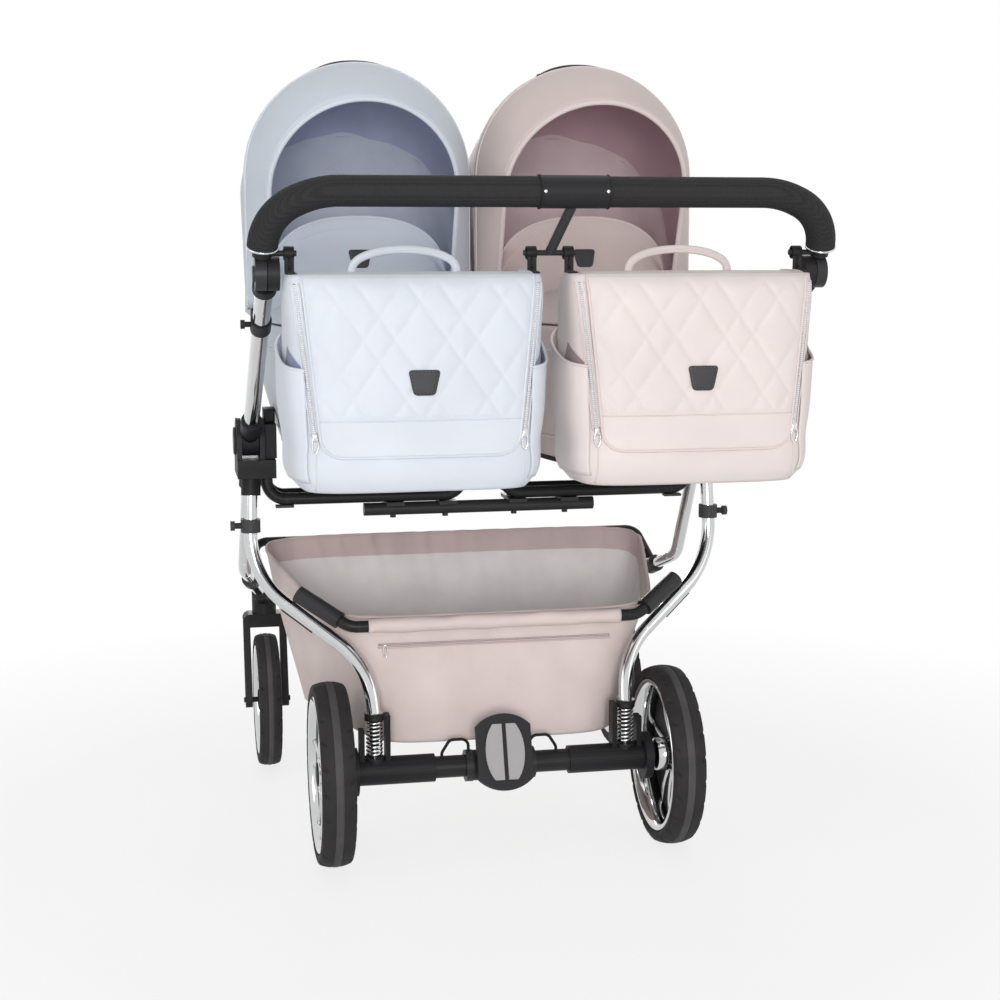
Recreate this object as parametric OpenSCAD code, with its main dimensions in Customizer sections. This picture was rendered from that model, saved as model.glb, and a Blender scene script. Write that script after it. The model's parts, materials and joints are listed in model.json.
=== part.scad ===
// Twin pram: one frame, two carrycots, two bags, a basket and four wheels.
// The pusher stands behind it and looks along +Y. +X is to the right and +Z is up.

/* [Wheels] */
// Outer diameter of a rear wheel
rear_wheel_d = 297; // [270:1:320]
// Width of a rear tyre
rear_tyre_w = 54; // [46:1:60]
// Outer diameter of a front wheel
front_wheel_d = 252; // [230:1:270]
// Width of a front tyre
front_tyre_w = 42; // [34:1:48]
// Height of a tyre above its rim
tyre_h = 22; // [16:1:26]
// Distance between the middles of the rear wheels
rear_track = 562; // [550:1:590]
// Distance between the middles of the front wheels
front_track = 694; // [680:1:710]
// Distance from the rear axle forward to the front axles
wheelbase = 561; // [550:1:600]
// Distance of a front axle behind its swivel
caster_trail = 40; // [30:1:50]
// Pairs of spokes in a wheel
spoke_pairs = 5; // [4:1:6]
// Diameter of a rear stub axle
stub_d = 12; // [10:1:14]
// Diameter of a front axle pin
front_pin_d = 10; // [8:1:12]

/* [Frame] */
// Distance between the middles of the two side frames
frame_w = 780; // [776:2:800]
// Distance from the rear axle forward to the fold pins
hinge_y = 175; // [165:1:190]
// Height of the fold pins
hinge_z = 672; // [660:1:684]
// Diameter of a leg tube
leg_d = 22; // [20:1:24]
// Diameter of an upright tube
upright_d = 25; // [22:1:26]
// Diameter of a cot carrier tube
carrier_d = 20; // [16:1:20]
// Drop of the carriers below the fold pins
carrier_drop = 98; // [92:1:104]
// Diameter of the cross tube
cross_d = 22; // [18:1:26]
// Length of the cross tube
cross_l = 400; // [360:2:440]
// Diameter of a fold pin
fold_pin_d = 12; // [10:1:14]

/* [Rear axle] */
// Diameter of the axle tube
axle_d = 36; // [30:1:38]
// Distance from a brake drum in to the middle of the spring beside it
spring_inset = 28; // [26:1:33]
// Length of a spring
spring_h = 62; // [56:1:68]
// Outer diameter of a spring
spring_d = 24; // [22:0.5:26]
// Diameter of the spring wire
wire_d = 3; // [2.5:0.5:3.5]
// Turns in a spring
spring_turns = 8; // [6:1:9]
// Width of the brake pedal
pedal_w = 90; // [78:1:96]
// Height of the brake pedal
pedal_h = 124; // [110:1:130]

/* [Handle] */
// Distance from the rear axle back to the handlebar
handle_y = 372; // [360:1:390]
// Height of the handlebar
handle_z = 1067; // [1055:1:1090]
// Distance from the rear axle back to the handle joints
joint_y = 325; // [316:1:330]
// Height of the handle joints
joint_z = 957; // [950:1:962]
// Diameter of the handlebar core
core_d = 26; // [22:1:28]
// Diameter of a foam grip
grip_d = 42; // [36:1:44]
// Radius of the handlebar's tight bends
handle_bend_r = 76; // [68:1:78]
// Length of the centre sleeve
sleeve_l = 97; // [80:1:110]
// Shift of the centre sleeve to the right
sleeve_shift = 25; // [0:1:30]

/* [Basket] */
// Width of the basket's rear rim
basket_rear_w = 440; // [430:2:446]
// Width of the basket's front rim
basket_front_w = 744; // [720:2:750]
// Height of the basket's floor
basket_floor_z = 182; // [178:1:190]
// Height of the basket's rear rim
basket_rear_z = 388; // [380:1:394]
// Height of the basket's front rim
basket_front_z = 452; // [440:1:460]
// Thickness of the basket cloth
basket_t = 3; // [2:0.5:4]
// Diameter of the basket bars
basket_bar_d = 20; // [16:1:22]

/* [Cots] */
// Distance between the middles of the two cots
cot_pitch = 390; // [388:1:394]
// Length of a cot at its rim
cot_l = 810; // [780:2:830]
// Width of a cot at its rim
cot_w = 356; // [350:2:358]
// Height of a cot
cot_h = 224; // [210:1:240]
// Thickness of a cot wall
cot_wall = 11; // [8:1:14]
// Thickness of a mattress
mattress_h = 55; // [40:1:70]
// Thickness of an apron
apron_t = 6; // [5:0.5:8]
// Height of the raised apron flap above the rim
flap_h = 166; // [140:1:180]

/* [Hoods] */
// Radius of a hood about its pivots
hood_r = 423; // [410:1:430]
// Width of a hood
hood_w = 380; // [378:1:384]
// Thickness of a hood wall
hood_t = 5; // [4:0.5:5]
// Angle of the hood's front bow above the rim
bow_angle = 87; // [82:1:90]
// Angle of the visor's edge above the rim
visor_angle = 111; // [104:1:114]
// Radius of the visor's edge about the pivots
visor_r = 381; // [370:1:390]
// Diameter of a hood pivot pin
pivot_d = 10; // [8:1:12]

/* [Bags] */
// Width of a bag
bag_w = 364; // [344:2:364]
// Height of a bag
bag_h = 290; // [270:1:300]
// Depth of a bag
bag_d = 140; // [130:1:150]
// Thickness of a bag wall
bag_wall = 6; // [4:0.5:8]
// Diameter of the pins that the bags hang on
hang_d = 8; // [6:1:10]

/* [Hidden] */
$fn = 64;

// Clearances: running fit on a radius, slip fit on a radius, seat between solids, bearing side play
run_gap = 0.05;
slip_gap = 0.2;
seat_gap = 0.3;
side_gap = 0.6;

// Weld bands where straight and bent stretches of tube meet
weld_l = 2;
weld_h = 0.1;

// Wheels
axle_z = rear_wheel_d / 2;
front_axle_z = front_wheel_d / 2;
rear_x = rear_track / 2;
front_x = front_track / 2;
rear_rim_r = rear_wheel_d / 2 - tyre_h;
front_rim_r = front_wheel_d / 2 - tyre_h;
rim_ring_h = 14;
rim_inset = 5;
hub_d = 64;
hub_floor = 5;
tyre_crown = 1.1;
spoke_w = 10;
spoke_t = 12;
spoke_spread = 11;
rear_hub_l = rear_tyre_w - 2 * rim_inset;
front_hub_l = front_tyre_w - 2 * rim_inset;

// Front forks and swivel heads
fork_gap = 7;
fork_leg_t = 13;
fork_crown_gap = 10;
fork_crown_h = 26;
fork_shoulder_d = 18;
fork_leg_d = 30;
fork_neck_d = 38;
stem_d = 16;
stem_h = 40;
head_d = 46;
head_h = 56;
swivel_y = wheelbase + caster_trail;
fork_crown_z = front_wheel_d + fork_crown_gap;
head_z = fork_crown_z + fork_crown_h + side_gap;
fork_leg_x = front_tyre_w / 2 + fork_gap;

// Rear axle unit
drum_d = 78;
drum_t = 13;
drum_gap = 3;
drum_x = rear_x - rear_tyre_w / 2 - drum_gap - drum_t;
spring_x = drum_x - spring_inset;
seat_rise = 24;
seat_z = axle_z + seat_rise;
cap_z = seat_z + spring_h;
cap_d = 30;
cap_h = 8;
piston_d = 12;
piston_reach = 8;
carrier_body_d = 46;
carrier_reach = 98;
carrier_in_x = spring_x - carrier_reach;
axle_insert = 38;
tower_d = 34;
guard_t = 8;
guard_w = 24;
guard_h = 70;
guard_gap = 2;
outer_guard_h = 46;
coil_r = (spring_d - wire_d) / 2;
cheek_ring_d = 52;
cheek_ring_t = 12;
pedal_sleeve_d = 50;
pedal_x = -4;
pedal_t = 13;
pedal_back = 36;
pedal_rise = 30;
pedal_lean = -20;
pedal_rib_t = 12;
grip_pad_t = 4;
grip_pad_rib = 7;
grip_pad_margin = 7;
grip_pad_share = 0.58;
grip_pad_h = pedal_h - 34;
cable_d = 5;
cable_bend_r = 12;
cable_span = 44;
cable_rise = 45;
cable_foot = 6;
cable_lean = 0.7;

// Side hinges
frame_x = frame_w / 2;
boss_w = 28;
boss_d = 50;
cheek_t = 8;
cheek_d = 76;
pin_head_h = 4;
pin_head_d = 22;
cheek_x = boss_w / 2 + side_gap;
block_top_z = hinge_z - boss_d / 2 - 3;
block_h = 30;
block_z = block_top_z - block_h;
block_back = 46;
block_front = 62;
collar_t = 5;
collar_l = 30;
leg_insert = 20;
rear_leg_dy = -22;
front_leg_dy = 22;
hook_wall = 5;
hook_h = 22;
hook_reach = 15;
hook_neck_d = 10;
hook_head_d = 16;
hook_head_t = 7;
brace_off = 14;
brace_l = 30;
brace_w = 16;
brace_t = 4;

// Cot carriers and sockets
carrier_in = 26;
carrier_gap = 55;
carrier_back_y = hinge_y - 10;
carrier_front_y = carrier_back_y + carrier_gap;
carrier_mid_y = (carrier_back_y + carrier_front_y) / 2;
carrier_z = hinge_z - carrier_drop;
carrier_bend_r = 32;
carrier_out_x = frame_x - carrier_in;
post_x = 34;
post_top_z = block_top_z + 8;
post_insert = 26;
saddle_t = 6;
saddle_w = 30;
saddle_l = carrier_gap + 22;
saddle_x = [60, 150];
bolt_d = 10;
bolt_h = 5;
socket_w = 19;
socket_l = 76;
socket_top_z = hinge_z + 28;
socket_out_x = frame_x - 43;
socket_in_x = post_x - socket_w / 2;
plug_d = 9;
plug_l = 28;
plug_h = 24;
plug_arm_w = 48;
lift_lean = 30;

// Legs
rear_leg_top = [frame_x, hinge_y + rear_leg_dy, block_z + leg_insert];
knee_out = 6;
rear_knee_back = 45;
rear_knee_drop = 222;
ankle_out = 5;
ankle_fore = 30;
ankle_rise = 76;
rear_leg_knee = [frame_x + knee_out, hinge_y - rear_knee_back, hinge_z - rear_knee_drop];
rear_leg_end = [spring_x, 0, cap_z + cap_h];
rear_leg_ankle = rear_leg_end + [ankle_out, ankle_fore, ankle_rise];
rear_leg_bend_r = 140;
rear_leg_bend_at = norm(rear_leg_knee - rear_leg_top)
    - trim([rear_leg_top, rear_leg_knee, rear_leg_ankle], 1, rear_leg_bend_r);
hook_at = rear_leg_bend_at - hook_h / 2 - side_gap;
front_leg_top = [frame_x, hinge_y + front_leg_dy, block_z + leg_insert];
front_knee_fore = 155;
front_knee_drop = 247;
front_leg_knee = [frame_x + knee_out, hinge_y + front_knee_fore, hinge_z - front_knee_drop];
front_leg_end = [front_x, swivel_y, head_z + head_h / 2];
front_leg_bend_r = 60;
leg_slope = (rear_leg_ankle - rear_leg_knee) / norm(rear_leg_ankle - rear_leg_knee);

// Basket and its bars
basket_rear_y = 60;
basket_front_y = 492;
basket_floor_back = 30;
basket_floor_front = 395;
basket_floor_w1 = 390;
basket_floor_w2 = 630;
basket_mid_w1 = 450;
basket_spread = 55;
basket_mid_w2 = 700;
basket_round = 7;
basket_rear_draw = 14;
rear_wall_slope = 2 * basket_rear_draw / (basket_rear_z - basket_floor_z);
rear_bar_y = basket_rear_y - rear_wall_slope * basket_bar_d / 2
    - (basket_bar_d / 2 + seat_gap) * sqrt(1 + pow(rear_wall_slope, 2));
rear_bar_z = basket_rear_z - basket_bar_d / 2;
rear_bar_x = basket_rear_w / 2 + 22;
rear_bar_bend_r = 40;
clamp_d = basket_bar_d + 9;
clamp_l = 84;
clamp_start = 82;
clamp_up = [-0.3, 0, 1];
clamp_side = unit(clamp_up - leg_slope * (leg_slope * clamp_up));
rear_bar_top = rear_leg_knee + leg_slope * clamp_start + clamp_side * ((leg_d + clamp_d) / 2 + seat_gap);
front_bar_d = 16;
front_bar_y = basket_front_y + front_bar_d / 2 + seat_gap;
front_bar_z = basket_front_z - front_bar_d / 2;
front_bar_x = basket_front_w / 2 - 8;
front_bar_bend_r = 24;
front_leg_slope = (front_leg_end - front_leg_knee) / norm(front_leg_end - front_leg_knee);
front_bar_drop = 100;
front_bar_foot = front_leg_knee + front_leg_slope * front_bar_drop;
front_clamp_l = 26;

// Upper frame
up_len = norm([joint_y + hinge_y, joint_z - hinge_z]);
up_lean = atan2(joint_y + hinge_y, joint_z - hinge_z);
knuckle_start = cheek_d / 2 + 3;
knuckle_reach = 40;
knuckle_d = upright_d + 9;
knuckle_w = 26;
joint_disc_d = 46;
joint_gap = 1;
joint_in_w = 16.5;
joint_out_w = 15.5;
joint_in_x = frame_x - 1.5;
joint_out_x = joint_in_x + joint_gap;
joint_neck_w = 15;
joint_arm_d = 13;
joint_collar = [28, 44];
joint_pin_d = 12;
button_d = 22;
button_out = 3;
button_l = 6;
release_l = 28;
release_d = upright_d + 5;
release_from_top = 136;
release_tab = 14;
release_neck_d = 8;
release_head_d = 13;

// Handlebar and what hangs from it
arm_x = joint_out_x + joint_out_w / 2;
elbow_share = 0.72;
elbow_x = frame_x + 2;
shoulder_in = 70;
joint_point = [arm_x, -joint_y, joint_z];
elbow_point = [elbow_x, -joint_y - (handle_y - joint_y) * elbow_share,
               joint_z + (handle_z - joint_z) * elbow_share];
shoulder_point = [elbow_x - shoulder_in, -handle_y, handle_z];
arm_dir = unit(elbow_point - joint_point);
shoulder_bend_r = 1.6 * handle_bend_r;
arm_at = joint_disc_d / 2 + 3;
hang_at = arm_at + hang_d / 2;
ring_t = 4;
ring_gap = 1.6;
ring_at = hang_at + hang_d / 2 + ring_gap + ring_t;
sleeve_d = grip_d + 3;
hang_y = -(joint_point + arm_dir * hang_at).y;
hang_z = (joint_point + arm_dir * hang_at).z;
hang_in = 48;
hang_half = 37;
hook_d = 14;

// Bags
bag_x = 193;
bag_top_z = hang_z - 28;
bag_z = bag_top_z - bag_h;
bag_y = -hang_y - 14;
bag_round = 4.5;
bag_cap_share = 0.96;
eye_d = 20;
eye_w = 14;
eye_out_x = bag_x + bag_cap_share * bag_w / 2 - eye_w / 2 - 1;
eye_in_x = bag_x - bag_cap_share * bag_w / 2 + eye_w / 2 + 1;
strap_t = 4;
strap_y = -hang_y - 8;
carry_span = 110;
carry_rise = 26;
carry_d = 12;
carry_bend_r = 22;
carry_foot = 8;
carry_shift = 12;

// Cots
cot_x = cot_pitch / 2;
cot_y = 265;
cot_z = hinge_z - 26;
rim_z = cot_z + cot_h;
cot_round = 3;
mattress_gap = 4;
apron_back_y = 205;
flap_base_y = 232;
flap_top_y = 262;
apron_rise = 40;
flap_half = 150;
dome_curve = [2.2, 1];
flap_curve = [2.5, 0.45];

// Hoods
pivot_y = 250;
pivot_z = rim_z + seat_gap;
pivot_plate_t = 5;
pivot_disc_t = 6;
pivot_disc_d = 34;
hood_nest = 3.5;
hood_rear_end = 48;
hood_front_start = 43;
hood_front_steps = 5;
visor_draw = 33;

// Middle of the whole pram along Y, so that its origin lies under the middle of its box
rear_end = bag_y - bag_d / 2;
front_end = max(pivot_y + hood_r - hood_t - hood_nest, wheelbase + front_wheel_d / 2,
                swivel_y + head_d / 2, cot_y + cot_l / 2);
mid_y = (rear_end + front_end) / 2;

chrome = [0.82, 0.83, 0.85];
black = [0.10, 0.10, 0.11];
grey = [0.45, 0.46, 0.48];
rubber = [0.23, 0.23, 0.24];
blue_cloth = [0.76, 0.82, 0.88];
pink_cloth = [0.87, 0.76, 0.77];
basket_cloth = [0.72, 0.62, 0.63];

// Direction helpers
function unit(v) = v / norm(v);
function turn_angle(a, b, c) = acos(max(-1, min(1, unit(b - a) * unit(c - b))));
function reversed(list) = [for (i = [len(list) - 1 : -1 : 0]) list[i]];
function mean_point(list, i = 0) = i == len(list) ? [0, 0, 0] : list[i] / len(list) + mean_point(list, i + 1);
function bend(r, i) = is_list(r) ? r[i - 1] : r;
function trim(route, i, r) = bend(r, i) * tan(turn_angle(route[i - 1], route[i], route[i + 1]) / 2);
function leg_start(route, i, r) =
    i == 0 ? route[0] : route[i] + unit(route[i + 1] - route[i]) * trim(route, i, r);
function leg_stop(route, i, r) =
    i == len(route) - 2 ? route[i + 1] : route[i + 1] - unit(route[i + 1] - route[i]) * trim(route, i + 1, r);
function flip_x(p) = [-p.x, p.y, p.z];

// Everything is drawn from the rear axle and then set down over the origin
module set_down() {
    translate([0, -mid_y, 0]) children();
}

// Right-hand pieces as drawn, left-hand pieces mirrored
module sided(side) {
    mirror([side < 0 ? 1 : 0, 0, 0]) children();
}

// Round rod from one point to another
module rod(a, b, d) {
    v = b - a;
    translate(a)
        rotate([0, acos(v.z / norm(v)), atan2(v.y, v.x)])
            cylinder(d = d, h = norm(v));
}

// Round bar along X
module bar_x(x1, x2, y, z, d) {
    translate([x1, y, z]) rotate([0, 90, 0]) cylinder(d = d, h = x2 - x1);
}

// Bend of a tube at the corner b of the route a, b, c
module elbow(a, b, c, r, d) {
    u = unit(b - a);
    w = unit(c - b);
    angle = turn_angle(a, b, c);
    start = b - u * r * tan(angle / 2);
    inward = unit(w - u * (u * w));
    centre = start + inward * r;
    out = -inward;
    n = cross(out, u);
    multmatrix([
        [out.x, u.x, n.x, centre.x],
        [out.y, u.y, n.y, centre.y],
        [out.z, u.z, n.z, centre.z],
        [0, 0, 0, 1]
    ])
        rotate_extrude(angle = angle) translate([r, 0]) circle(d = d);
}

// Tube of one diameter along a route of points, with a weld band at each end of a bend.
// The bend radius is one number, or a list with a number for each corner.
module pipe(route, d, r) {
    for (i = [0 : len(route) - 2]) {
        a = leg_start(route, i, r);
        b = leg_stop(route, i, r);
        way = unit(b - a) * weld_l / 2;
        rod(a, b, d);
        if (i > 0)
            rod(a - way, a + way, d + 2 * weld_h);
        if (i < len(route) - 2)
            rod(b - way, b + way, d + 2 * weld_h);
    }
    for (i = [1 : 1 : len(route) - 2])
        elbow(route[i - 1], route[i], route[i + 1], bend(r, i), d);
}

// Box given by two opposite corners
module box(a, b) {
    translate(a) cube(b - a);
}

// Faces between stacked rings of n points each
function ring_faces(m, n) = [
    for (i = [0 : m - 2], j = [0 : n - 1])
        let (a = i * n + j, b = i * n + (j + 1) % n, c = (i + 1) * n + (j + 1) % n, d = (i + 1) * n + j)
            each [[a, d, c], [a, c, b]]
];

// Solid through stacked rings, closed at both ends by fans
module ring_solid(rings) {
    m = len(rings);
    n = len(rings[0]);
    points = concat([for (ring = rings) each ring], [mean_point(rings[0]), mean_point(rings[m - 1])]);
    first = [for (j = [0 : n - 1]) [j, (j + 1) % n, m * n]];
    last = [for (j = [0 : n - 1]) [(m - 1) * n + (j + 1) % n, (m - 1) * n + j, m * n + 1]];
    polyhedron(points, concat(ring_faces(m, n), first, last));
}

// Solid sheet between two grids of points, closed along all four edges
module sheet_solid(upper, lower) {
    m = len(upper);
    n = len(upper[0]);
    rings = [for (i = [0 : m - 1]) concat(upper[i], reversed(lower[i]))];
    points = [for (ring = rings) each ring];
    k = 2 * n;
    first = [for (j = [0 : n - 2]) each [[j, j + 1, k - 2 - j], [j, k - 2 - j, k - 1 - j]]];
    far = (m - 1) * k;
    last = [for (j = [0 : n - 2])
        each [[far + j + 1, far + j, far + k - 2 - j], [far + k - 2 - j, far + j, far + k - 1 - j]]];
    polyhedron(points, concat(ring_faces(m, k), first, last));
}

// Rounded ring in a level plane: half sizes, roundness, number of points
function oval(centre, half_x, half_y, power, count) = [
    for (k = [0 : count - 1])
        let (c = cos(360 * k / count), s = sin(360 * k / count))
            [centre.x + half_x * sign(c) * pow(abs(c), 2 / power),
             centre.y + half_y * sign(s) * pow(abs(s), 2 / power),
             centre.z]
];

// Ring that widens and rises from a rear edge to a front edge, each given as [half width, y, z]
function taper_ring(rear, front, power, count) = [
    for (k = [0 : count - 1])
        let (c = cos(360 * k / count), s = sin(360 * k / count),
             t = (1 + sign(s) * pow(abs(s), 2 / power)) / 2,
             edge = rear * (1 - t) + front * t)
            [edge.x * sign(c) * pow(abs(c), 2 / power), edge.y, edge.z]
];

// Wheels

// Section of a tyre: radius along X, width along Y
module tyre_section(rim_r, outer_r, w) {
    crown_r = w * tyre_crown;
    intersection() {
        translate([rim_r, -w / 2]) square([outer_r - rim_r, w]);
        translate([outer_r - crown_r, 0]) circle(r = crown_r, $fn = 128);
    }
}

module tyre(rim_r, outer_r, w) {
    color(rubber)
        rotate([0, 90, 0]) rotate_extrude($fn = 96) tyre_section(rim_r, outer_r, w);
}

// Rim with paired spokes and a hub that is bored from its inner side
module rim(rim_r, w, hub_l, bore_d) {
    spoke_in = hub_d / 2 - 3;
    spoke_out = rim_r - rim_ring_h + 4;
    lip = rim_ring_h / 2;
    color(chrome)
        difference() {
            union() {
                rotate([0, 90, 0])
                    rotate_extrude($fn = 96)
                        polygon([
                            [rim_r - rim_ring_h, -w / 2 + rim_inset], [rim_r - lip, -w / 2],
                            [rim_r, -w / 2], [rim_r, w / 2],
                            [rim_r - lip, w / 2], [rim_r - rim_ring_h, w / 2 - rim_inset]
                        ]);
                bar_x(-hub_l / 2, hub_l / 2, 0, 0, hub_d);
                for (k = [0 : spoke_pairs - 1], lean = [-1, 1])
                    rotate([360 * k / spoke_pairs + lean * spoke_spread, 0, 0])
                        box([hub_l / 2 - spoke_t - 2, -spoke_w / 2, spoke_in],
                            [hub_l / 2 - 2, spoke_w / 2, spoke_out]);
            }
            bar_x(-hub_l / 2 - 1, hub_l / 2 - hub_floor, 0, 0, bore_d);
        }
}

module rear_tyre(side) {
    sided(side) translate([rear_x, 0, axle_z]) tyre(rear_rim_r, rear_wheel_d / 2, rear_tyre_w);
}

module rear_rim(side) {
    sided(side)
        translate([rear_x, 0, axle_z])
            rim(rear_rim_r, rear_tyre_w, rear_hub_l, stub_d + 2 * run_gap);
}

module front_tyre(side) {
    sided(side)
        translate([front_x, wheelbase, front_axle_z])
            tyre(front_rim_r, front_wheel_d / 2, front_tyre_w);
}

// The front hub is bored right through for the axle pin
module front_rim(side) {
    sided(side)
        translate([front_x, wheelbase, front_axle_z])
            difference() {
                rim(front_rim_r, front_tyre_w, front_hub_l, front_pin_d + 2 * run_gap);
                bar_x(0, front_hub_l, 0, 0, front_pin_d + 2 * run_gap);
            }
}

// Fork with a crown over the tyre, two legs, a swivel stem and the axle pin
module front_fork(side) {
    leg_out = fork_leg_x + fork_leg_t;
    color(black)
        sided(side)
            translate([front_x, 0, 0]) {
                for (s = [-1, 1])
                    translate([s > 0 ? fork_leg_x : -leg_out, 0, 0])
                        rotate([90, 0, 90])
                            linear_extrude(fork_leg_t)
                                hull() {
                                    translate([wheelbase, front_axle_z]) circle(d = fork_leg_d, $fn = 32);
                                    translate([swivel_y - 4, fork_crown_z + fork_shoulder_d / 2])
                                        circle(d = fork_shoulder_d, $fn = 32);
                                }
                translate([0, swivel_y + fork_neck_d / 2, fork_crown_z + fork_crown_h / 2])
                    rotate([90, 0, 0])
                        linear_extrude(fork_neck_d)
                            hull()
                                for (s = [-1, 1])
                                    translate([s * (leg_out - fork_crown_h / 2), 0])
                                        circle(d = fork_crown_h, $fn = 32);
                translate([0, swivel_y, fork_crown_z]) cylinder(d = stem_d, h = fork_crown_h + stem_h);
                bar_x(-leg_out - 3, leg_out + 3, wheelbase, front_axle_z, front_pin_d);
            }
}

// Housing at the foot of a front leg, bored for the fork's stem and the leg
module swivel_head(side) {
    color(black)
        sided(side)
            difference() {
                union() {
                    translate([front_x, swivel_y, head_z]) cylinder(d = head_d, h = head_h);
                    rod(front_leg_end - front_leg_slope * 62, front_leg_end, leg_d + 2 * collar_t);
                }
                translate([front_x, swivel_y, head_z - 1])
                    cylinder(d = stem_d + 2 * run_gap, h = stem_h + 3);
                rod(front_leg_end - front_leg_slope * 70, front_leg_end - front_leg_slope * (head_d / 2 + 4),
                    leg_d + 2 * slip_gap);
            }
}

// Legs and hinges

module front_leg(side) {
    foot = front_leg_end - front_leg_slope * (head_d / 2 + 5);
    color(chrome)
        sided(side) pipe([front_leg_top, front_leg_knee, foot], leg_d, front_leg_bend_r);
}

// Rear leg with the cap and piston that the spring works against
module rear_leg(side) {
    color(chrome)
        sided(side) {
            pipe([rear_leg_top, rear_leg_knee, rear_leg_ankle, rear_leg_end], leg_d, rear_leg_bend_r);
            translate([spring_x, 0, cap_z]) cylinder(d = cap_d, h = cap_h + 4);
            translate([spring_x, 0, axle_z - piston_reach])
                cylinder(d = piston_d, h = cap_z - axle_z + piston_reach + 1);
        }
}

// Hinge block with two cheeks for the knuckle and sockets for the legs and carriers
module hinge(side) {
    rear_way = unit(rear_leg_knee - rear_leg_top);
    front_way = unit(front_leg_knee - front_leg_top);
    outer_x = frame_x + cheek_x + cheek_t;
    color(black)
        sided(side)
            difference() {
                union() {
                    box([carrier_out_x - carrier_d / 2 - 4, hinge_y - block_back, block_z],
                        [outer_x, hinge_y + block_front, block_top_z]);
                    for (x = [frame_x - cheek_x - cheek_t, frame_x + cheek_x]) {
                        bar_x(x, x + cheek_t, hinge_y, hinge_z, cheek_d);
                        box([x, hinge_y - cheek_d / 2, block_top_z - 1],
                            [x + cheek_t, hinge_y + cheek_d / 2, hinge_z]);
                    }
                    rod(rear_leg_top, rear_leg_top + rear_way * (leg_insert + collar_l),
                        leg_d + 2 * collar_t);
                    rod(front_leg_top, front_leg_top + front_way * (leg_insert + collar_l),
                        leg_d + 2 * collar_t);
                }
                bar_x(0, outer_x + 1, hinge_y, hinge_z, fold_pin_d + 2 * run_gap);
                rod(rear_leg_top - rear_way, rear_leg_knee, leg_d + 2 * slip_gap);
                rod(front_leg_top - front_way, front_leg_knee, leg_d + 2 * slip_gap);
                for (y = [carrier_back_y, carrier_front_y])
                    translate([carrier_out_x, y, block_z - 1])
                        cylinder(d = carrier_d + 2 * slip_gap, h = post_insert + 1);
            }
}

// Fold pins with a head at each end
module hinge_pins() {
    half = cheek_x + cheek_t;
    color(grey)
        for (side = [-1, 1])
            sided(side) {
                bar_x(frame_x - half, frame_x + half, hinge_y, hinge_z, fold_pin_d);
                bar_x(frame_x + half, frame_x + half + pin_head_h, hinge_y, hinge_z, pin_head_d);
            }
}

// Cot carriers

// Two parallel U-shaped tubes under one cot
module seat_carrier(side) {
    color(black)
        sided(side)
            for (y = [carrier_back_y, carrier_front_y])
                pipe([
                    [carrier_out_x, y, block_z + post_insert - 1], [carrier_out_x, y, carrier_z],
                    [post_x, y, carrier_z], [post_x, y, post_top_z]
                ], carrier_d, carrier_bend_r);
}

// Cross tube under the carriers, with saddle plates and bolt heads
module carrier_cross_tube() {
    plate_z = carrier_z - carrier_d / 2 - saddle_t;
    tube_z = plate_z - cross_d / 2 + 1;
    color(black) {
        bar_x(-cross_l / 2, cross_l / 2, carrier_mid_y, tube_z, cross_d);
        for (side = [-1, 1], x = saddle_x)
            sided(side) {
                box([x - saddle_w / 2, carrier_mid_y - saddle_l / 2, plate_z],
                    [x + saddle_w / 2, carrier_mid_y + saddle_l / 2, plate_z + saddle_t]);
                translate([x, carrier_mid_y, tube_z - cross_d / 2 - bolt_h + 1])
                    cylinder(d = bolt_d, h = bolt_h);
            }
    }
}

// Way that a cot's plugs leave their sockets
plug_way = [0, sin(lift_lean), cos(lift_lean)];

module socket(x1, base_z) {
    mouth = [x1 + socket_w / 2, carrier_mid_y, socket_top_z];
    difference() {
        box([x1, carrier_mid_y - socket_l / 2, base_z],
            [x1 + socket_w, carrier_mid_y + socket_l / 2, socket_top_z]);
        rod(mouth - plug_way * (plug_l + 4), mouth + plug_way * 12, plug_d + 2 * seat_gap);
    }
}

// Outer sockets stand on the hinge blocks and inner ones on the carriers' posts
module cot_sockets() {
    color(black)
        for (side = [-1, 1])
            sided(side) {
                socket(socket_out_x, block_top_z);
                socket(socket_in_x, post_top_z);
            }
}

// Transport hooks on the rear legs and braces under the hinge blocks
module frame_fittings() {
    hook = rear_leg_top + unit(rear_leg_knee - rear_leg_top) * hook_at;
    head_x = hook.x + leg_d / 2 + hook_reach;
    brace_z = carrier_z - carrier_d / 2;
    brace_x = carrier_out_x - brace_off;
    color(grey)
        for (side = [-1, 1])
            sided(side) {
                difference() {
                    union() {
                        translate(hook) cylinder(d = leg_d + 2 * hook_wall, h = hook_h, center = true);
                        bar_x(hook.x, head_x + 1, hook.y, hook.z, hook_neck_d);
                        bar_x(head_x, head_x + hook_head_t, hook.y, hook.z, hook_head_d);
                    }
                    rod(rear_leg_top, rear_leg_knee, leg_d + 2 * slip_gap);
                }
                box([brace_x - brace_l, carrier_back_y - brace_w / 2, brace_z - brace_t],
                    [brace_x, carrier_back_y + brace_w / 2, brace_z]);
            }
}

// Basket

// Rear bar with the clamps that hold it to the legs
module basket_rear_bar() {
    corner = [rear_bar_x, rear_bar_y, rear_bar_z];
    color(black) {
        pipe([flip_x(rear_bar_top), flip_x(corner), corner, rear_bar_top], basket_bar_d, rear_bar_bend_r);
        for (side = [-1, 1])
            sided(side)
                rod(rear_bar_top, rear_bar_top + unit(corner - rear_bar_top) * clamp_l, clamp_d);
    }
}

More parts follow.
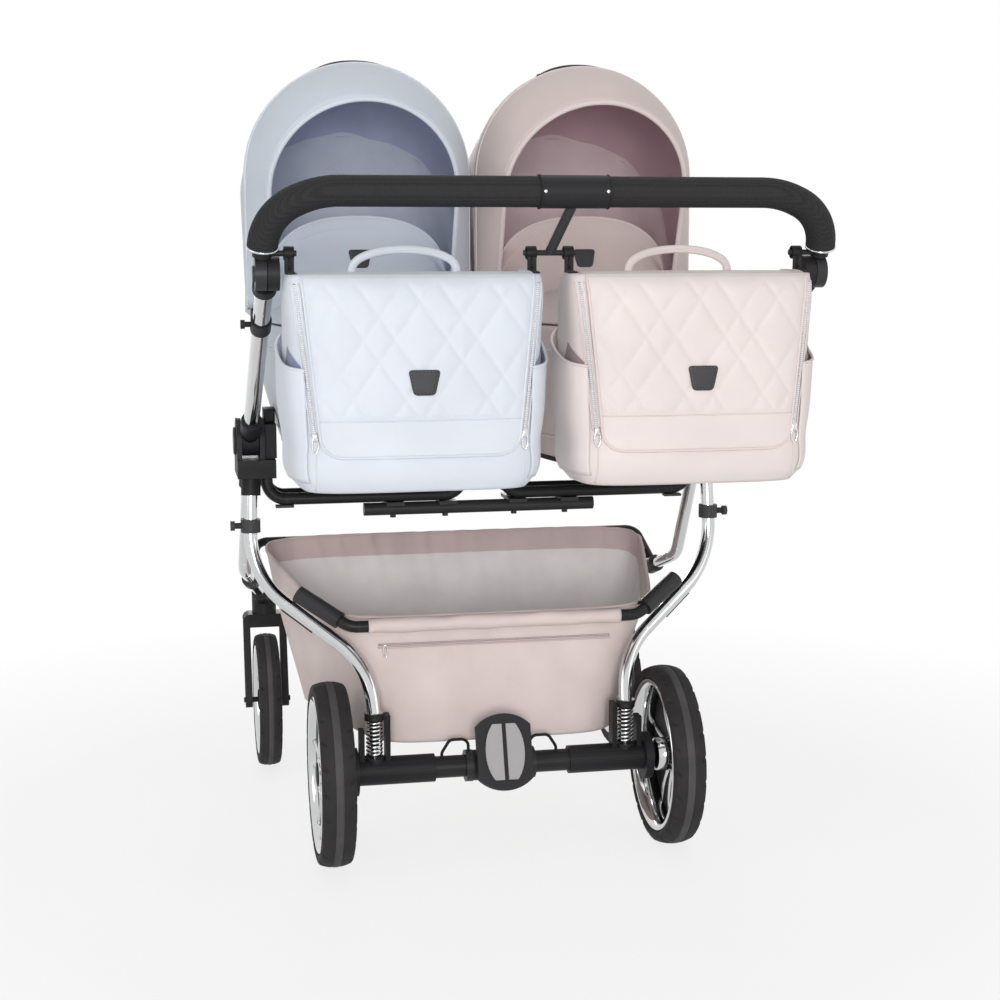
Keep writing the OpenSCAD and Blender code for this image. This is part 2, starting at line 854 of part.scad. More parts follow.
// Front bar with the clamps that hold it to the front legs
module basket_front_bar() {
    corner = [front_bar_x, front_bar_y, front_bar_z];
    half = front_leg_slope * front_clamp_l / 2;
    color(black)
        difference() {
            union() {
                pipe([flip_x(front_bar_foot), flip_x(corner), corner, front_bar_foot],
                     front_bar_d, front_bar_bend_r);
                for (side = [-1, 1])
                    sided(side)
                        rod(front_bar_foot - half, front_bar_foot + half, leg_d + 2 * collar_t);
            }
            for (side = [-1, 1])
                sided(side)
                    rod(front_bar_foot - 2 * half, front_bar_foot + 2 * half, leg_d + 2 * slip_gap);
        }
}

// Cloth tub, open at the top, hung between the two bars
module basket() {
    count = 48;
    top_rear = [basket_rear_w / 2 + basket_spread, basket_rear_y, basket_rear_z];
    top_front = [basket_front_w / 2, basket_front_y, basket_front_z];
    mid_rear = [basket_mid_w1 / 2, basket_rear_y - basket_rear_draw, (basket_rear_z + basket_floor_z) / 2];
    mid_front = [basket_mid_w2 / 2, basket_front_y - 34, (basket_front_z + basket_floor_z) / 2 + 10];
    low_rear = [basket_floor_w1 / 2, basket_floor_back, basket_floor_z];
    low_front = [basket_floor_w2 / 2, basket_floor_front, basket_floor_z];
    rear_in = [-basket_t, basket_t, 0];
    front_in = [-basket_t, -basket_t, 0];
    lift = [0, 0, basket_t];
    color(basket_cloth)
        ring_solid([
            taper_ring(low_rear, low_front, basket_round, count),
            taper_ring(mid_rear, mid_front, basket_round, count),
            taper_ring(top_rear, top_front, basket_round, count),
            taper_ring(top_rear + rear_in, top_front + front_in, basket_round, count),
            taper_ring(mid_rear + rear_in, mid_front + front_in, basket_round, count),
            taper_ring(low_rear + rear_in + lift, low_front + front_in + lift, basket_round, count)
        ]);
}

// Rear axle unit

// Axle tube with two cheek rings beside the pedal
module rear_axle() {
    end = carrier_in_x + axle_insert - 1;
    left_ring = pedal_x - pedal_w / 2 - side_gap - cheek_ring_t;
    right_ring = pedal_x + pedal_w / 2 + side_gap;
    color(black) {
        bar_x(-end, end, 0, axle_z, axle_d);
        bar_x(left_ring, left_ring + cheek_ring_t, 0, axle_z, cheek_ring_d);
        bar_x(right_ring, right_ring + cheek_ring_t, 0, axle_z, cheek_ring_d);
    }
}

// Carrier at each end of the axle: spring tower, guard, drum disc and stub axle
module axle_carrier(side) {
    stub_end = rear_x + rear_hub_l / 2 - hub_floor - 1;
    guard_x = spring_x - cap_d / 2 - guard_gap - guard_t;
    outer_x = spring_x + cap_d / 2 + guard_gap;
    color(black)
        sided(side)
            difference() {
                union() {
                    bar_x(carrier_in_x, drum_x + 1, 0, axle_z, carrier_body_d);
                    bar_x(drum_x, drum_x + drum_t, 0, axle_z, drum_d);
                    bar_x(drum_x, stub_end, 0, axle_z, stub_d);
                    translate([spring_x, 0, axle_z]) cylinder(d = tower_d, h = seat_rise);
                    for (guard = [[guard_x, guard_h], [outer_x, outer_guard_h]])
                        box([guard[0], -guard_w / 2, axle_z],
                            [guard[0] + guard_t, guard_w / 2, seat_z + guard[1]]);
                }
                bar_x(carrier_in_x - 1, carrier_in_x + axle_insert, 0, axle_z, axle_d + 2 * slip_gap);
                translate([spring_x, 0, axle_z - carrier_body_d])
                    cylinder(d = piston_d + 2 * run_gap, h = carrier_body_d + seat_rise + 1);
            }
}

// Wire of one spring: straight ends, square to their seats, and a helix between them
coil_z1 = seat_z + seat_gap + 2 * wire_d;
coil_z2 = cap_z - seat_gap - 2 * wire_d;
rings_per_turn = 8;
coil_steps = spring_turns * rings_per_turn;
coil_points = concat(
    [[coil_r, 0, seat_z + seat_gap], [coil_r, 0, seat_z + seat_gap + wire_d]],
    [for (k = [1 : coil_steps - 1])
        let (a = 360 * k / rings_per_turn)
            [coil_r * cos(a), coil_r * sin(a), coil_z1 + (coil_z2 - coil_z1) * k / coil_steps]],
    [[coil_r, 0, cap_z - seat_gap - wire_d], [coil_r, 0, cap_z - seat_gap]]
);

// Ring of points round a wire at point i of its path
function wire_ring(path, i, d) =
    let (
        last = len(path) - 1,
        way = unit(path[min(i + 1, last)] - path[max(i - 1, 0)]),
        out = unit([path[i].x, path[i].y, 0] - way * (way * [path[i].x, path[i].y, 0])),
        across = cross(way, out)
    )
    [for (k = [0 : 5]) path[i] + (out * cos(60 * k) + across * sin(60 * k)) * d / 2];

// Least clear gap between stretches of the wire that lie more than half a turn apart
coil_gap = min([
    for (i = [0 : len(coil_points) - 1], j = [i + rings_per_turn / 2 : 1 : len(coil_points) - 1])
        norm(coil_points[i] - coil_points[j]) - wire_d
]);
echo(least_spring_gap = coil_gap);

module rear_springs() {
    color(chrome)
        for (side = [-1, 1])
            translate([side * spring_x, 0, 0])
                ring_solid([for (i = [0 : len(coil_points) - 1]) wire_ring(coil_points, i, wire_d)]);
}

// Cables that arch from the axle tube over to the cheek rings
module brake_cables() {
    ring_x = pedal_w / 2 + side_gap + cheek_ring_t / 2;
    top_z = axle_z + cable_rise;
    color(black)
        for (side = [-1, 1])
            pipe([
                [pedal_x + side * (ring_x + cable_span), 0, axle_z + axle_d / 2 + seat_gap],
                [pedal_x + side * (ring_x + cable_span), 0, axle_z + axle_d / 2 + cable_foot],
                [pedal_x + side * (ring_x + cable_span * cable_lean), 0, top_z],
                [pedal_x + side * ring_x, 0, top_z],
                [pedal_x + side * ring_x, 0, axle_z + cheek_ring_d / 2 + seat_gap]
            ], cable_d, cable_bend_r);
}

// Pedal that rocks on the axle tube
module brake_pedal() {
    color(black)
        difference() {
            union() {
                bar_x(pedal_x - pedal_w / 2, pedal_x + pedal_w / 2, 0, axle_z, pedal_sleeve_d);
                pedal_plate();
                for (x = [pedal_x - pedal_w / 4, pedal_x + pedal_w / 4])
                    box([x - pedal_rib_t / 2, -pedal_back - 4, axle_z - 8],
                        [x + pedal_rib_t / 2, 0, axle_z + pedal_rise]);
            }
            bar_x(pedal_x - pedal_w, pedal_x + pedal_w, 0, axle_z, axle_d + 2 * run_gap);
        }
}

// Rounded plate that leans over the axle
module pedal_plate() {
    translate([pedal_x, -pedal_back, axle_z + pedal_rise])
        rotate([pedal_lean, 0, 0])
            rotate([90, 0, 0])
                linear_extrude(pedal_t)
                    intersection() {
                        square([pedal_w, pedal_h], center = true);
                        circle(d = pedal_h);
                    }
}

// Two grip pads, side by side, with a rib left between them
module pedal_grips() {
    color(grey)
        translate([pedal_x, -pedal_back, axle_z + pedal_rise])
            rotate([pedal_lean, 0, 0])
                translate([0, -pedal_t, 0])
                    rotate([90, 0, 0])
                        for (s = [-1, 1])
                            linear_extrude(grip_pad_t)
                                intersection() {
                                    scale([grip_pad_share, 1]) circle(d = pedal_h - 2 * grip_pad_margin);
                                    translate([s > 0 ? grip_pad_rib / 2 : -pedal_w / 2, -grip_pad_h / 2])
                                        square([(pedal_w - grip_pad_rib) / 2, grip_pad_h]);
                                }
}

// Upper frame

// Point on the upright, given by its distance from the fold pin
function up_point(s) = [frame_x, hinge_y - s * sin(up_lean), hinge_z + s * cos(up_lean)];

module upright(side) {
    color(chrome)
        sided(side) rod(up_point(knuckle_start + 7), up_point(up_len - joint_collar[0] - 4), upright_d);
}

// Knuckles that turn on the fold pins and hold the uprights
module upright_knuckles() {
    color(black)
        for (side = [-1, 1])
            sided(side)
                difference() {
                    union() {
                        bar_x(frame_x - boss_w / 2, frame_x + boss_w / 2, hinge_y, hinge_z, boss_d);
                        rod(up_point(knuckle_start), up_point(knuckle_start + knuckle_reach), knuckle_d);
                        rod(up_point(0), up_point(knuckle_start + 4), knuckle_w);
                    }
                    bar_x(0, frame_x + boss_w, hinge_y, hinge_z, fold_pin_d + 2 * run_gap);
                    rod(up_point(knuckle_start + 6), up_point(up_len), upright_d + 2 * slip_gap);
                }
}

// Lower halves of the handle joints, with the pins that the handlebar turns on
module handle_joints() {
    disc_x = joint_in_x - joint_in_w;
    pin_end = joint_out_x + joint_out_w - button_l - 4;
    neck = [joint_in_x - joint_in_w / 2 - frame_x, 0, 0];
    color(black)
        for (side = [-1, 1])
            sided(side)
                difference() {
                    union() {
                        bar_x(disc_x, joint_in_x, -joint_y, joint_z, joint_disc_d);
                        bar_x(disc_x, pin_end, -joint_y, joint_z, joint_pin_d);
                        rod(up_point(up_len) + neck, up_point(up_len - joint_collar[0] - 6) + neck,
                            joint_neck_w);
                        rod(up_point(up_len - joint_collar[0]), up_point(up_len - joint_collar[1]),
                            upright_d + 9);
                    }
                    rod(up_point(up_len - joint_collar[0] - 3), up_point(up_len - joint_collar[1] - 5),
                        upright_d + 2 * slip_gap);
                }
}

// Sleeve that slides up the upright to free the fold, with a finger knob
module fold_release(side) {
    start = up_len - release_from_top - release_l;
    knob = up_point(start + release_l / 2);
    color(black)
        sided(side)
            difference() {
                union() {
                    rod(up_point(start), up_point(start + release_l), release_d);
                    bar_x(knob.x, knob.x + release_d / 2 + release_tab - 5, knob.y, knob.z, release_neck_d);
                    bar_x(knob.x + release_d / 2 + release_tab - 6, knob.x + release_d / 2 + release_tab,
                          knob.y, knob.z, release_head_d);
                }
                rod(up_point(start - 5), up_point(start + release_l + 5), upright_d + 2 * slip_gap);
            }
}

// Handlebar

grip_start = joint_point + arm_dir * ring_at;
sleeve_x1 = sleeve_shift - sleeve_l / 2;
sleeve_x2 = sleeve_shift + sleeve_l / 2;

// Bent tube between the two joints
module handle_core(d) {
    start = joint_point + arm_dir * arm_at;
    pipe([flip_x(start), flip_x(elbow_point), flip_x(shoulder_point), shoulder_point, elbow_point, start],
         d, [handle_bend_r, shoulder_bend_r, shoulder_bend_r, handle_bend_r]);
}

// Core tube with the outer halves of the joints and the pins that the bags hang on
module handlebar() {
    disc_end = joint_out_x + joint_out_w;
    color(black)
        difference() {
            union() {
                handle_core(core_d);
                for (side = [-1, 1])
                    sided(side) {
                        bar_x(joint_out_x, disc_end, -joint_y, joint_z, joint_disc_d);
                        rod(joint_point, joint_point + arm_dir * (arm_at + 4), joint_arm_d);
                        bar_x(arm_x - hang_in, arm_x - 4, -hang_y, hang_z, hang_d);
                    }
            }
            for (side = [-1, 1])
                sided(side) {
                    bar_x(joint_out_x - 1, disc_end - button_l, -joint_y, joint_z, joint_pin_d + 2 * run_gap);
                    bar_x(disc_end - button_l - button_out + 1, disc_end + 1, -joint_y, joint_z,
                          button_d + 2 * slip_gap);
                }
        }
}

// Foam grips from the joints round the bends to the centre sleeve, with their end rings
module handle_grips() {
    grip_bends = [handle_bend_r, shoulder_bend_r];
    color(black)
        difference() {
            union() {
                pipe([grip_start, elbow_point, shoulder_point, [sleeve_x2 + seat_gap, -handle_y, handle_z]],
                     grip_d, grip_bends);
                pipe([flip_x(grip_start), flip_x(elbow_point), flip_x(shoulder_point),
                      [sleeve_x1 - seat_gap, -handle_y, handle_z]], grip_d, grip_bends);
                for (flip = [0, 1])
                    mirror([flip, 0, 0])
                        rod(grip_start - arm_dir * ring_t, grip_start + arm_dir, grip_d - 4);
            }
            handle_core(core_d + 2 * slip_gap);
        }
}

module handle_sleeve() {
    color(black)
        difference() {
            bar_x(sleeve_x1, sleeve_x2, -handle_y, handle_z, sleeve_d);
            bar_x(sleeve_x1 - 1, sleeve_x2 + 1, -handle_y, handle_z, core_d + 2 * slip_gap);
        }
}

// Stem under the centre sleeve with the cross pin that carries the bags' inner straps
module bag_hook() {
    color(black)
        difference() {
            union() {
                rod([sleeve_shift, -handle_y, handle_z - sleeve_d / 2 + hook_d / 2], [0, -hang_y, hang_z],
                    hook_d);
                bar_x(-hang_half, hang_half, -hang_y, hang_z, hang_d);
            }
            bar_x(sleeve_x1, sleeve_x2, -handle_y, handle_z, sleeve_d + 2 * seat_gap);
        }
}

module angle_button(side) {
    end = joint_out_x + joint_out_w;
    color(grey)
        sided(side) bar_x(end + button_out - button_l, end + button_out, -joint_y, joint_z, button_d);
}

// Bags

// Shares of a bag's height, width and depth, and of its width on the side of the pusher, from its bottom up
bag_levels = [
    [0, 0.9, 0.86, 0.9], [0.04, 0.955, 0.96, 0.9], [0.25, 0.985, 1, 0.9], [0.5, 1, 1, 0.91],
    [0.75, 0.985, 0.96, 0.95], [0.95, 0.975, 0.9, 0.98], [1, bag_cap_share, 0.82, 0.985]
];

// Rings of a bag's skin, drawn in by an inset and narrower on the side of the pusher
function bag_rings(inset) = [
    for (level = bag_levels)
        let (z = bag_z + inset + (bag_h - 2 * inset) * level[0],
             half_x = bag_w / 2 * level[1] - inset,
             half_y = bag_d / 2 * level[2] - inset)
            taper_ring([half_x * level[3], -half_y, z], [half_x, half_y, z], bag_round, 36)
];

module bag(side) {
    color(side < 0 ? blue_cloth : pink_cloth)
        translate([side * bag_x, bag_y, 0])
            difference() {
                ring_solid(bag_rings(0));
                ring_solid(bag_rings(bag_wall));
            }
}

// Straps with eyes on the hanging pins, and the carry handle on top
module bag_straps(side) {
    top = bag_top_z + seat_gap;
    foot_z = top + carry_d / 2 * carry_foot / norm([carry_foot, carry_rise]);
    color(black)
        sided(side) {
            for (x = [eye_out_x, eye_in_x])
                difference() {
                    union() {
                        bar_x(x - eye_w / 2, x + eye_w / 2, -hang_y, hang_z, eye_d);
                        box([x - eye_w / 2, strap_y, top], [x + eye_w / 2, strap_y + strap_t, hang_z]);
                    }
                    bar_x(x - eye_w, x + eye_w, -hang_y, hang_z, hang_d + 2 * run_gap);
                }
            translate([bag_x - side * carry_shift, bag_y, 0])
                pipe([
                    [-carry_span / 2 - carry_foot, 0, foot_z], [-carry_span / 2, 0, foot_z + carry_rise],
                    [carry_span / 2, 0, foot_z + carry_rise], [carry_span / 2 + carry_foot, 0, foot_z]
                ], carry_d, carry_bend_r);
        }
}

// Cots

// Half width and half length of a cot's skin at a share of its height
function cot_half(share) = [
    cot_w / 2 - 50 * pow(1 - share, 1.6), cot_l / 2 - 50 * pow(1 - share, 1.6)
];

function cot_ring(share, inset, z) =
    oval([0, cot_y, z], cot_half(share).x - inset, cot_half(share).y - inset, cot_round, 40);

// Tub with its hood pivots and the plugs that go into the sockets
module cot(side) {
    color(side < 0 ? blue_cloth : pink_cloth)
        translate([side * cot_x, 0, 0]) {
            ring_solid(concat(
                [for (share = [0, 0.12, 0.35, 0.65, 1]) cot_ring(share, 0, cot_z + cot_h * share)],
                [for (share = [1, 0.65, 0.35, 0.12])
                    cot_ring(share, cot_wall, cot_z + cot_h * share)]
            ));
            for (s = [-1, 1])
                sided(s) {
                    cot_pivot();
                }
        }
    color(black)
        sided(side) cot_plugs();
}

// Plate outside the rim with the pin that the hood turns on
module cot_pivot() {
    x1 = cot_w / 2 + seat_gap;
    x2 = x1 + pivot_plate_t;
    bar_x(x1, x2, pivot_y, pivot_z, pivot_disc_d);
    box([x1, pivot_y - pivot_disc_d / 2, pivot_z - 40], [x2, pivot_y + pivot_disc_d / 2, pivot_z]);
    bar_x(x1, x2 + pivot_disc_t + 1, pivot_y, pivot_z, pivot_d);
}

// Arms beside the tub, each with a plug that leans the way the cot is lifted
module cot_plugs() {
    z1 = socket_top_z + seat_gap;
    share = (z1 + plug_h - cot_z) / cot_h;
    half = cot_half(share).x;
    for (inner = [0, 1]) {
        socket_x = inner == 1 ? socket_in_x : socket_out_x;
        wall_x = inner == 1 ? cot_x - half - seat_gap : cot_x + half + seat_gap;
        far_x = inner == 1 ? socket_x : socket_x + socket_w;
        mouth = [socket_x + socket_w / 2, carrier_mid_y, socket_top_z] + plug_way * 3;
        box([min(wall_x, far_x), carrier_mid_y - plug_arm_w / 2, z1],
            [max(wall_x, far_x), carrier_mid_y + plug_arm_w / 2, z1 + plug_h]);
        rod(mouth - plug_way * plug_l, mouth, plug_d);
    }
}

// Mattress with a crown and drawn-in sides
module mattress(side) {
    z = cot_z + cot_h * 0.12 + seat_gap;
    half_x = cot_half(0.12).x - cot_wall - mattress_gap;
    half_y = cot_half(0.12).y - cot_wall - mattress_gap;
    levels = [[0, 0.94], [0.15, 0.985], [0.45, 0.97], [0.72, 0.985], [0.88, 0.93], [0.96, 0.75], [1, 0.4]];
    color("white")
        translate([side * cot_x, cot_y, z])
            ring_solid([
                for (level = levels)
                    oval([0, 0, mattress_h * level[0]], half_x * level[1], half_y * level[1], cot_round, 32)
            ]);
}

// Half width of a cot's rim at a place along it
function rim_half(y, inset) =
    let (share = min(1, abs(y - cot_y) / (cot_l / 2 - inset)))
        (cot_w / 2 - inset) * pow(max(0, 1 - pow(share, cot_round)), 1 / cot_round);

// Apron row: place of its edge and middle, each as [y, z], and the powers of the curve between them
function apron_row(edge, middle, half, curve) = [
    for (k = [0 : 16])
        let (u = sin(11.25 * (k - 8)), w = pow(max(0, 1 - pow(abs(u), curve[0])), curve[1]))
            [half * u, edge.x + (middle.x - edge.x) * w, edge.y + (middle.y - edge.y) * w]
];

// Apron over the foot of a cot: a low dome and, at its rear edge, the raised wind flap
module apron(side) {
    low = rim_z + seat_gap;
    start_y = cot_y - cot_l / 2 + 14;
    flat = [for (k = [0 : 8]) start_y + (apron_back_y - start_y) * pow(k / 8, 1.5)];
    dome = [for (y = flat) let (rise = min(1, (y - start_y) / 120)) [[y, low], [y, low + apron_rise * rise]]];
    flap = [
        [[flap_base_y, low + 8], [flap_base_y - 2, low + apron_rise + 14]],
        [[flap_base_y + 14, low + 22], [flap_base_y + 14, low + flap_h * 0.55]],
        [[flap_top_y, low + 40], [flap_top_y - 4, low + flap_h * 0.8]],
        [[flap_top_y + 8, low + 62], [flap_top_y, low + flap_h]]
    ];
    rows = concat(dome, flap);
    halves = [for (i = [0 : len(rows) - 1]) i < len(dome) ? max(60, rim_half(rows[i][0].x, 4)) : flap_half];
    shift = [for (i = [0 : len(rows) - 1]) i < len(dome) ? [0, 0, apron_t] : [0, -apron_t, apron_t * 0.4]];
    curves = [for (i = [0 : len(rows) - 1]) i < len(dome) ? dome_curve : flap_curve];
    lower = [for (i = [0 : len(rows) - 1]) apron_row(rows[i][0], rows[i][1], halves[i], curves[i])];
    upper = [for (i = [0 : len(rows) - 1]) [for (p = lower[i]) p + shift[i]]];
    color(side < 0 ? blue_cloth : pink_cloth)
        translate([side * cot_x, 0, 0]) sheet_solid(upper, lower);
}

// Hoods

// Arch of a hood from its right side over the top to its left side, as [x, radius about the pivots]
function arch(half, r, start) = concat(
    [for (k = [0 : 3]) [half, start + (r - half - start) * k / 4]],
    [for (k = [0 : 18]) [half * cos(10 * k), r - half + half * sin(10 * k)]],
    [for (k = [3 : -1 : 0]) [-half, start + (r - half - start) * k / 4]]
);

// Arch turned up from the head end of the rim by an angle
function hood_row(profile, angle) = [
    for (p = profile) [p.x, pivot_y + p.y * cos(angle), pivot_z + p.y * sin(angle)]
];

function between(a, b, t) = [for (i = [0 : len(a) - 1]) a[i] * (1 - t) + b[i] * t];

pivot_ring = pivot_disc_d / 2 + seat_gap;

// Fixed rear part of a hood, which the front part folds over
module hood_rear(side) {
    half = hood_w / 2 - hood_t - hood_nest;
    r = hood_r - hood_t - hood_nest;
    steps = 6;
    outer = arch(half, r, pivot_ring);
    inner = arch(half - hood_t, r - hood_t, pivot_ring);
    color(side < 0 ? blue_cloth : pink_cloth)
        translate([side * cot_x, 0, 0])
            sheet_solid([for (k = [0 : steps]) hood_row(outer, hood_rear_end * k / steps)],
                        [for (k = [0 : steps]) hood_row(inner, hood_rear_end * k / steps)]);
}

// Rows of the front part: a turned arch up to the bow, then the visor drawn in to its edge
function hood_front_rows(inset) =
    let (
        half = hood_w / 2 - inset,
        full = arch(half, hood_r - inset, pivot_ring),
        edge = arch(half - visor_draw, visor_r - inset, pivot_ring)
    )
    concat(
        [for (k = [0 : hood_front_steps])
            let (t = k / hood_front_steps)
                hood_row(full, hood_front_start + (bow_angle - hood_front_start) * t)],
        [for (k = [1 : 4])
            let (t = k / 4, drawn = pow(t, 1.5))
                hood_row(between(full, edge, drawn), bow_angle + (visor_angle - bow_angle) * t)]
    );

// Folding front part of a hood: shell, visor and the discs on its pivot pins
module hood_front(side) {
    disc_x = cot_w / 2 + seat_gap + pivot_plate_t + seat_gap;
    color(side < 0 ? blue_cloth : pink_cloth)
        translate([side * cot_x, 0, 0]) {
            sheet_solid(hood_front_rows(0), hood_front_rows(hood_t));
            for (s = [-1, 1])
                sided(s)
                    difference() {
                        bar_x(disc_x, disc_x + pivot_disc_t, pivot_y, pivot_z, pivot_disc_d);
                        bar_x(disc_x - 1, disc_x + pivot_disc_t + 1, pivot_y, pivot_z, pivot_d + 2 * run_gap);
                    }
        }
}

set_down() hinge(-1);  // hinge_left
set_down() hinge(1);  // hinge_right
set_down() hinge_pins();
set_down() rear_leg(-1);  // rear_leg_left
set_down() rear_leg(1);  // rear_leg_right
set_down() front_leg(-1);  // front_leg_left
set_down() front_leg(1);  // front_leg_right
set_down() seat_carrier(-1);  // seat_carrier_left
set_down() seat_carrier(1);  // seat_carrier_right
set_down() carrier_cross_tube();
set_down() cot_sockets();
set_down() basket_rear_bar();
set_down() basket_front_bar();
set_down() basket();
set_down() swivel_head(-1);  // swivel_head_left
set_down() swivel_head(1);  // swivel_head_right
set_down() frame_fittings();
set_down() rear_axle();
set_down() axle_carrier(-1);  // axle_carrier_left
set_down() axle_carrier(1);  // axle_carrier_right
set_down() rear_springs();
set_down() brake_cables();
set_down() brake_pedal();
set_down() pedal_grips();
set_down() rear_tyre(-1);  // rear_tyre_left
set_down() rear_rim(-1);  // rear_rim_left
set_down() rear_tyre(1);  // rear_tyre_right
set_down() rear_rim(1);  // rear_rim_right
set_down() front_fork(-1);  // front_fork_left
set_down() front_fork(1);  // front_fork_right
set_down() front_tyre(-1);  // front_tyre_left
set_down() front_rim(-1);  // front_rim_left
set_down() front_tyre(1);  // front_tyre_right
set_down() front_rim(1);  // front_rim_right
set_down() upright(-1);  // upright_left
set_down() upright(1);  // upright_right
set_down() upright_knuckles();
set_down() handle_joints();
set_down() fold_release(-1);  // fold_release_left
set_down() fold_release(1);  // fold_release_right
set_down() handlebar();
set_down() handle_grips();
set_down() handle_sleeve();
set_down() bag_hook();
set_down() angle_button(-1);  // angle_button_left
set_down() angle_button(1);  // angle_button_right
set_down() bag(-1);  // bag_left
set_down() bag(1);  // bag_right
set_down() bag_straps(-1);  // bag_straps_left
set_down() bag_straps(1);  // bag_straps_right
set_down() cot(-1);  // cot_left
set_down() cot(1);  // cot_right
set_down() mattress(-1);  // mattress_left
set_down() mattress(1);  // mattress_right
set_down() apron(-1);  // apron_left
set_down() apron(1);  // apron_right
set_down() hood_rear(-1);  // hood_rear_left
set_down() hood_rear(1);  // hood_rear_right
set_down() hood_front(-1);  // hood_front_left
set_down() hood_front(1);  // hood_front_right
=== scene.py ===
import functools
import json
import math

import bpy
import numpy as np
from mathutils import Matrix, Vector


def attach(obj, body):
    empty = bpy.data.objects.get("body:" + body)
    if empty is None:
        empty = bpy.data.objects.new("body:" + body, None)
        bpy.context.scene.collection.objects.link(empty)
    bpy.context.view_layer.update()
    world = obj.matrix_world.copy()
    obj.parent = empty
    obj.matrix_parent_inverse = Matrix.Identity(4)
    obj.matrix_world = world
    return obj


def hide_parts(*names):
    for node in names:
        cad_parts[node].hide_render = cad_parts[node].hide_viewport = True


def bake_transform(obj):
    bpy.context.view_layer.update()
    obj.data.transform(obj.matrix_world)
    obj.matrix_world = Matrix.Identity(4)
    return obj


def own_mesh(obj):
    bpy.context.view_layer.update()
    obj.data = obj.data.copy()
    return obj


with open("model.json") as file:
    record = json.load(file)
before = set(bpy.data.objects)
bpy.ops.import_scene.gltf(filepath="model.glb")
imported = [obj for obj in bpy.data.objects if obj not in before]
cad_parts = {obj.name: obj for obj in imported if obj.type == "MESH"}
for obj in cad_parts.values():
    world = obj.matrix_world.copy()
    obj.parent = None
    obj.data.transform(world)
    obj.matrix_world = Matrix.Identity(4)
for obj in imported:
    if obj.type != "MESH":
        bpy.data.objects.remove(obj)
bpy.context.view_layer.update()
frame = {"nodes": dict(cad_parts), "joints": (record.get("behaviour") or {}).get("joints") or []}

SIDES = (("left", -1), ("right", 1))
ENDS = ((-1, "a"), (1, "b"))
JOINTS = {joint["name"]: joint for joint in frame["joints"]}

# The shared frame's Y of the rear axle, from which all lengths below are measured
AXLE_Y = JOINTS["brake_press"]["pos_m"][1]


def place_of(x, y, z):
    """Point in metres in the shared frame, from millimetres off the rear axle's middle on the floor."""
    return Vector((x / 1000, y / 1000 + AXLE_Y, z / 1000))


# Sizes of the object, in millimetres

AXLE_Z = 148.5
# Each wheel: name, centre, tyre's radius, rim's radius, width and notches
WHEELS = (
    ("rear", (281, 0, AXLE_Z), 148.5, 126.5, 54, 22),
    ("front", (347, 561, 126), 126, 104, 42, 18),
)
TYRE_SEGMENTS = 420
TREAD_ROWS = range(5, 37)
TREAD_DEPTH = 14
STRIP_SHARE = 0.11
PLAIN_SHARE = 1.7
GROOVE_DEPTH = 1.1
GROOVE_HALF = 0.9
NOTCH_DEPTH = 5
NOTCH_START = 0.3
NOTCH_LEAN = 0.35
HUB_R = 32
SPOKE_PAIRS = 5
SPOKE_SPREAD = 0.19
SPOKE_LEAN = 0.05
SPRING_X = 210
SPRING_LOW_Z = 172.8
SPRING_TOP_Z = 234.2
SPRING_R = 12
SPRING_WIRE_R = 1.8
SPRING_TURNS = 9
COIL_POINTS = 28

HANDLE_Y = -372
HANDLE_Z = 1067
JOINT_POINT = np.array((397.25, -325.0, 957.0))
ELBOW_POINT = np.array((392.0, -358.84, 1036.2))
GRIP_R = 21
GRIP_RING_AT = 38.6
SLEEVE_X = (-23.5, 73.5)
SLEEVE_R = 22.5
HANG_Y = -336.765
HANG_Z = 984.536

BAG_X = 193
BAG_Y = -350.765
BAG_BOTTOM_Z = 666.536
BAG_H = 290
BAG_TOP_Z = 956.536
BAG_HALF_X = 182
BAG_HALF_Y = 70
BAG_ROUND = 4.5
BAG_SHARES = (0, 0.04, 0.25, 0.5, 0.75, 0.95, 1)
BAG_WIDE = (0.9, 0.955, 0.985, 1, 0.985, 0.975, 0.96)
BAG_DEEP = (0.86, 0.96, 1, 1, 0.96, 0.9, 0.82)
BAG_FRONT = (0.9, 0.9, 0.9, 0.91, 0.95, 0.98, 0.985)
EYE_X = (26.28, 359.72)
BAG_PATCH_Z = 815
FLAP_LOW_Z = 716
FLAP_BAND_Z = 764
FLAP_CUT_Z = BAG_TOP_Z - 2
FLAP_TOP_HALF = 157
FLAP_LOW_HALF = 133
FLAP_CORNER = 26
FLAP_TOP_RUN = 0.22
QUILT_W = 111
QUILT_BAND = 0.37
QUILT_SLOPE = 0.7
QUILT_PUFF = 2.4
ZIP_TOP_Z = 946
ZIP_FOOT_Z = 744
ZIP_TAPE = 5.2
CORNER_SEAM_Z = 670
POCKET_COLUMNS = 41
POCKET_SNUG = 0.7
CARRY_HALF = 72
CARRY_RISE = 31
CARRY_R = 5.6
STRAP_EYE_R = 8.2
STRAP_W = 13

COT_X = 195
COT_Y = 265
COT_Z = 646
COT_H = 224
COT_HALF_X = 178
COT_HALF_Y = 405
COT_DRAW = 50
COT_CURVE = 1.6
COT_WALL = 11
COT_ROLL = 0.965
COT_ROUND = 3
MATTRESS_Z = 673
MATTRESS_H = 55
PAD_VOXEL = 6
PAD_SWELL = 6
PAD_CHANNEL = 72
CHANNEL_DEPTH = 3.2
CHANNEL_HALF = 5
PAD_PRESSURE = 4
PAD_FRAMES = 20

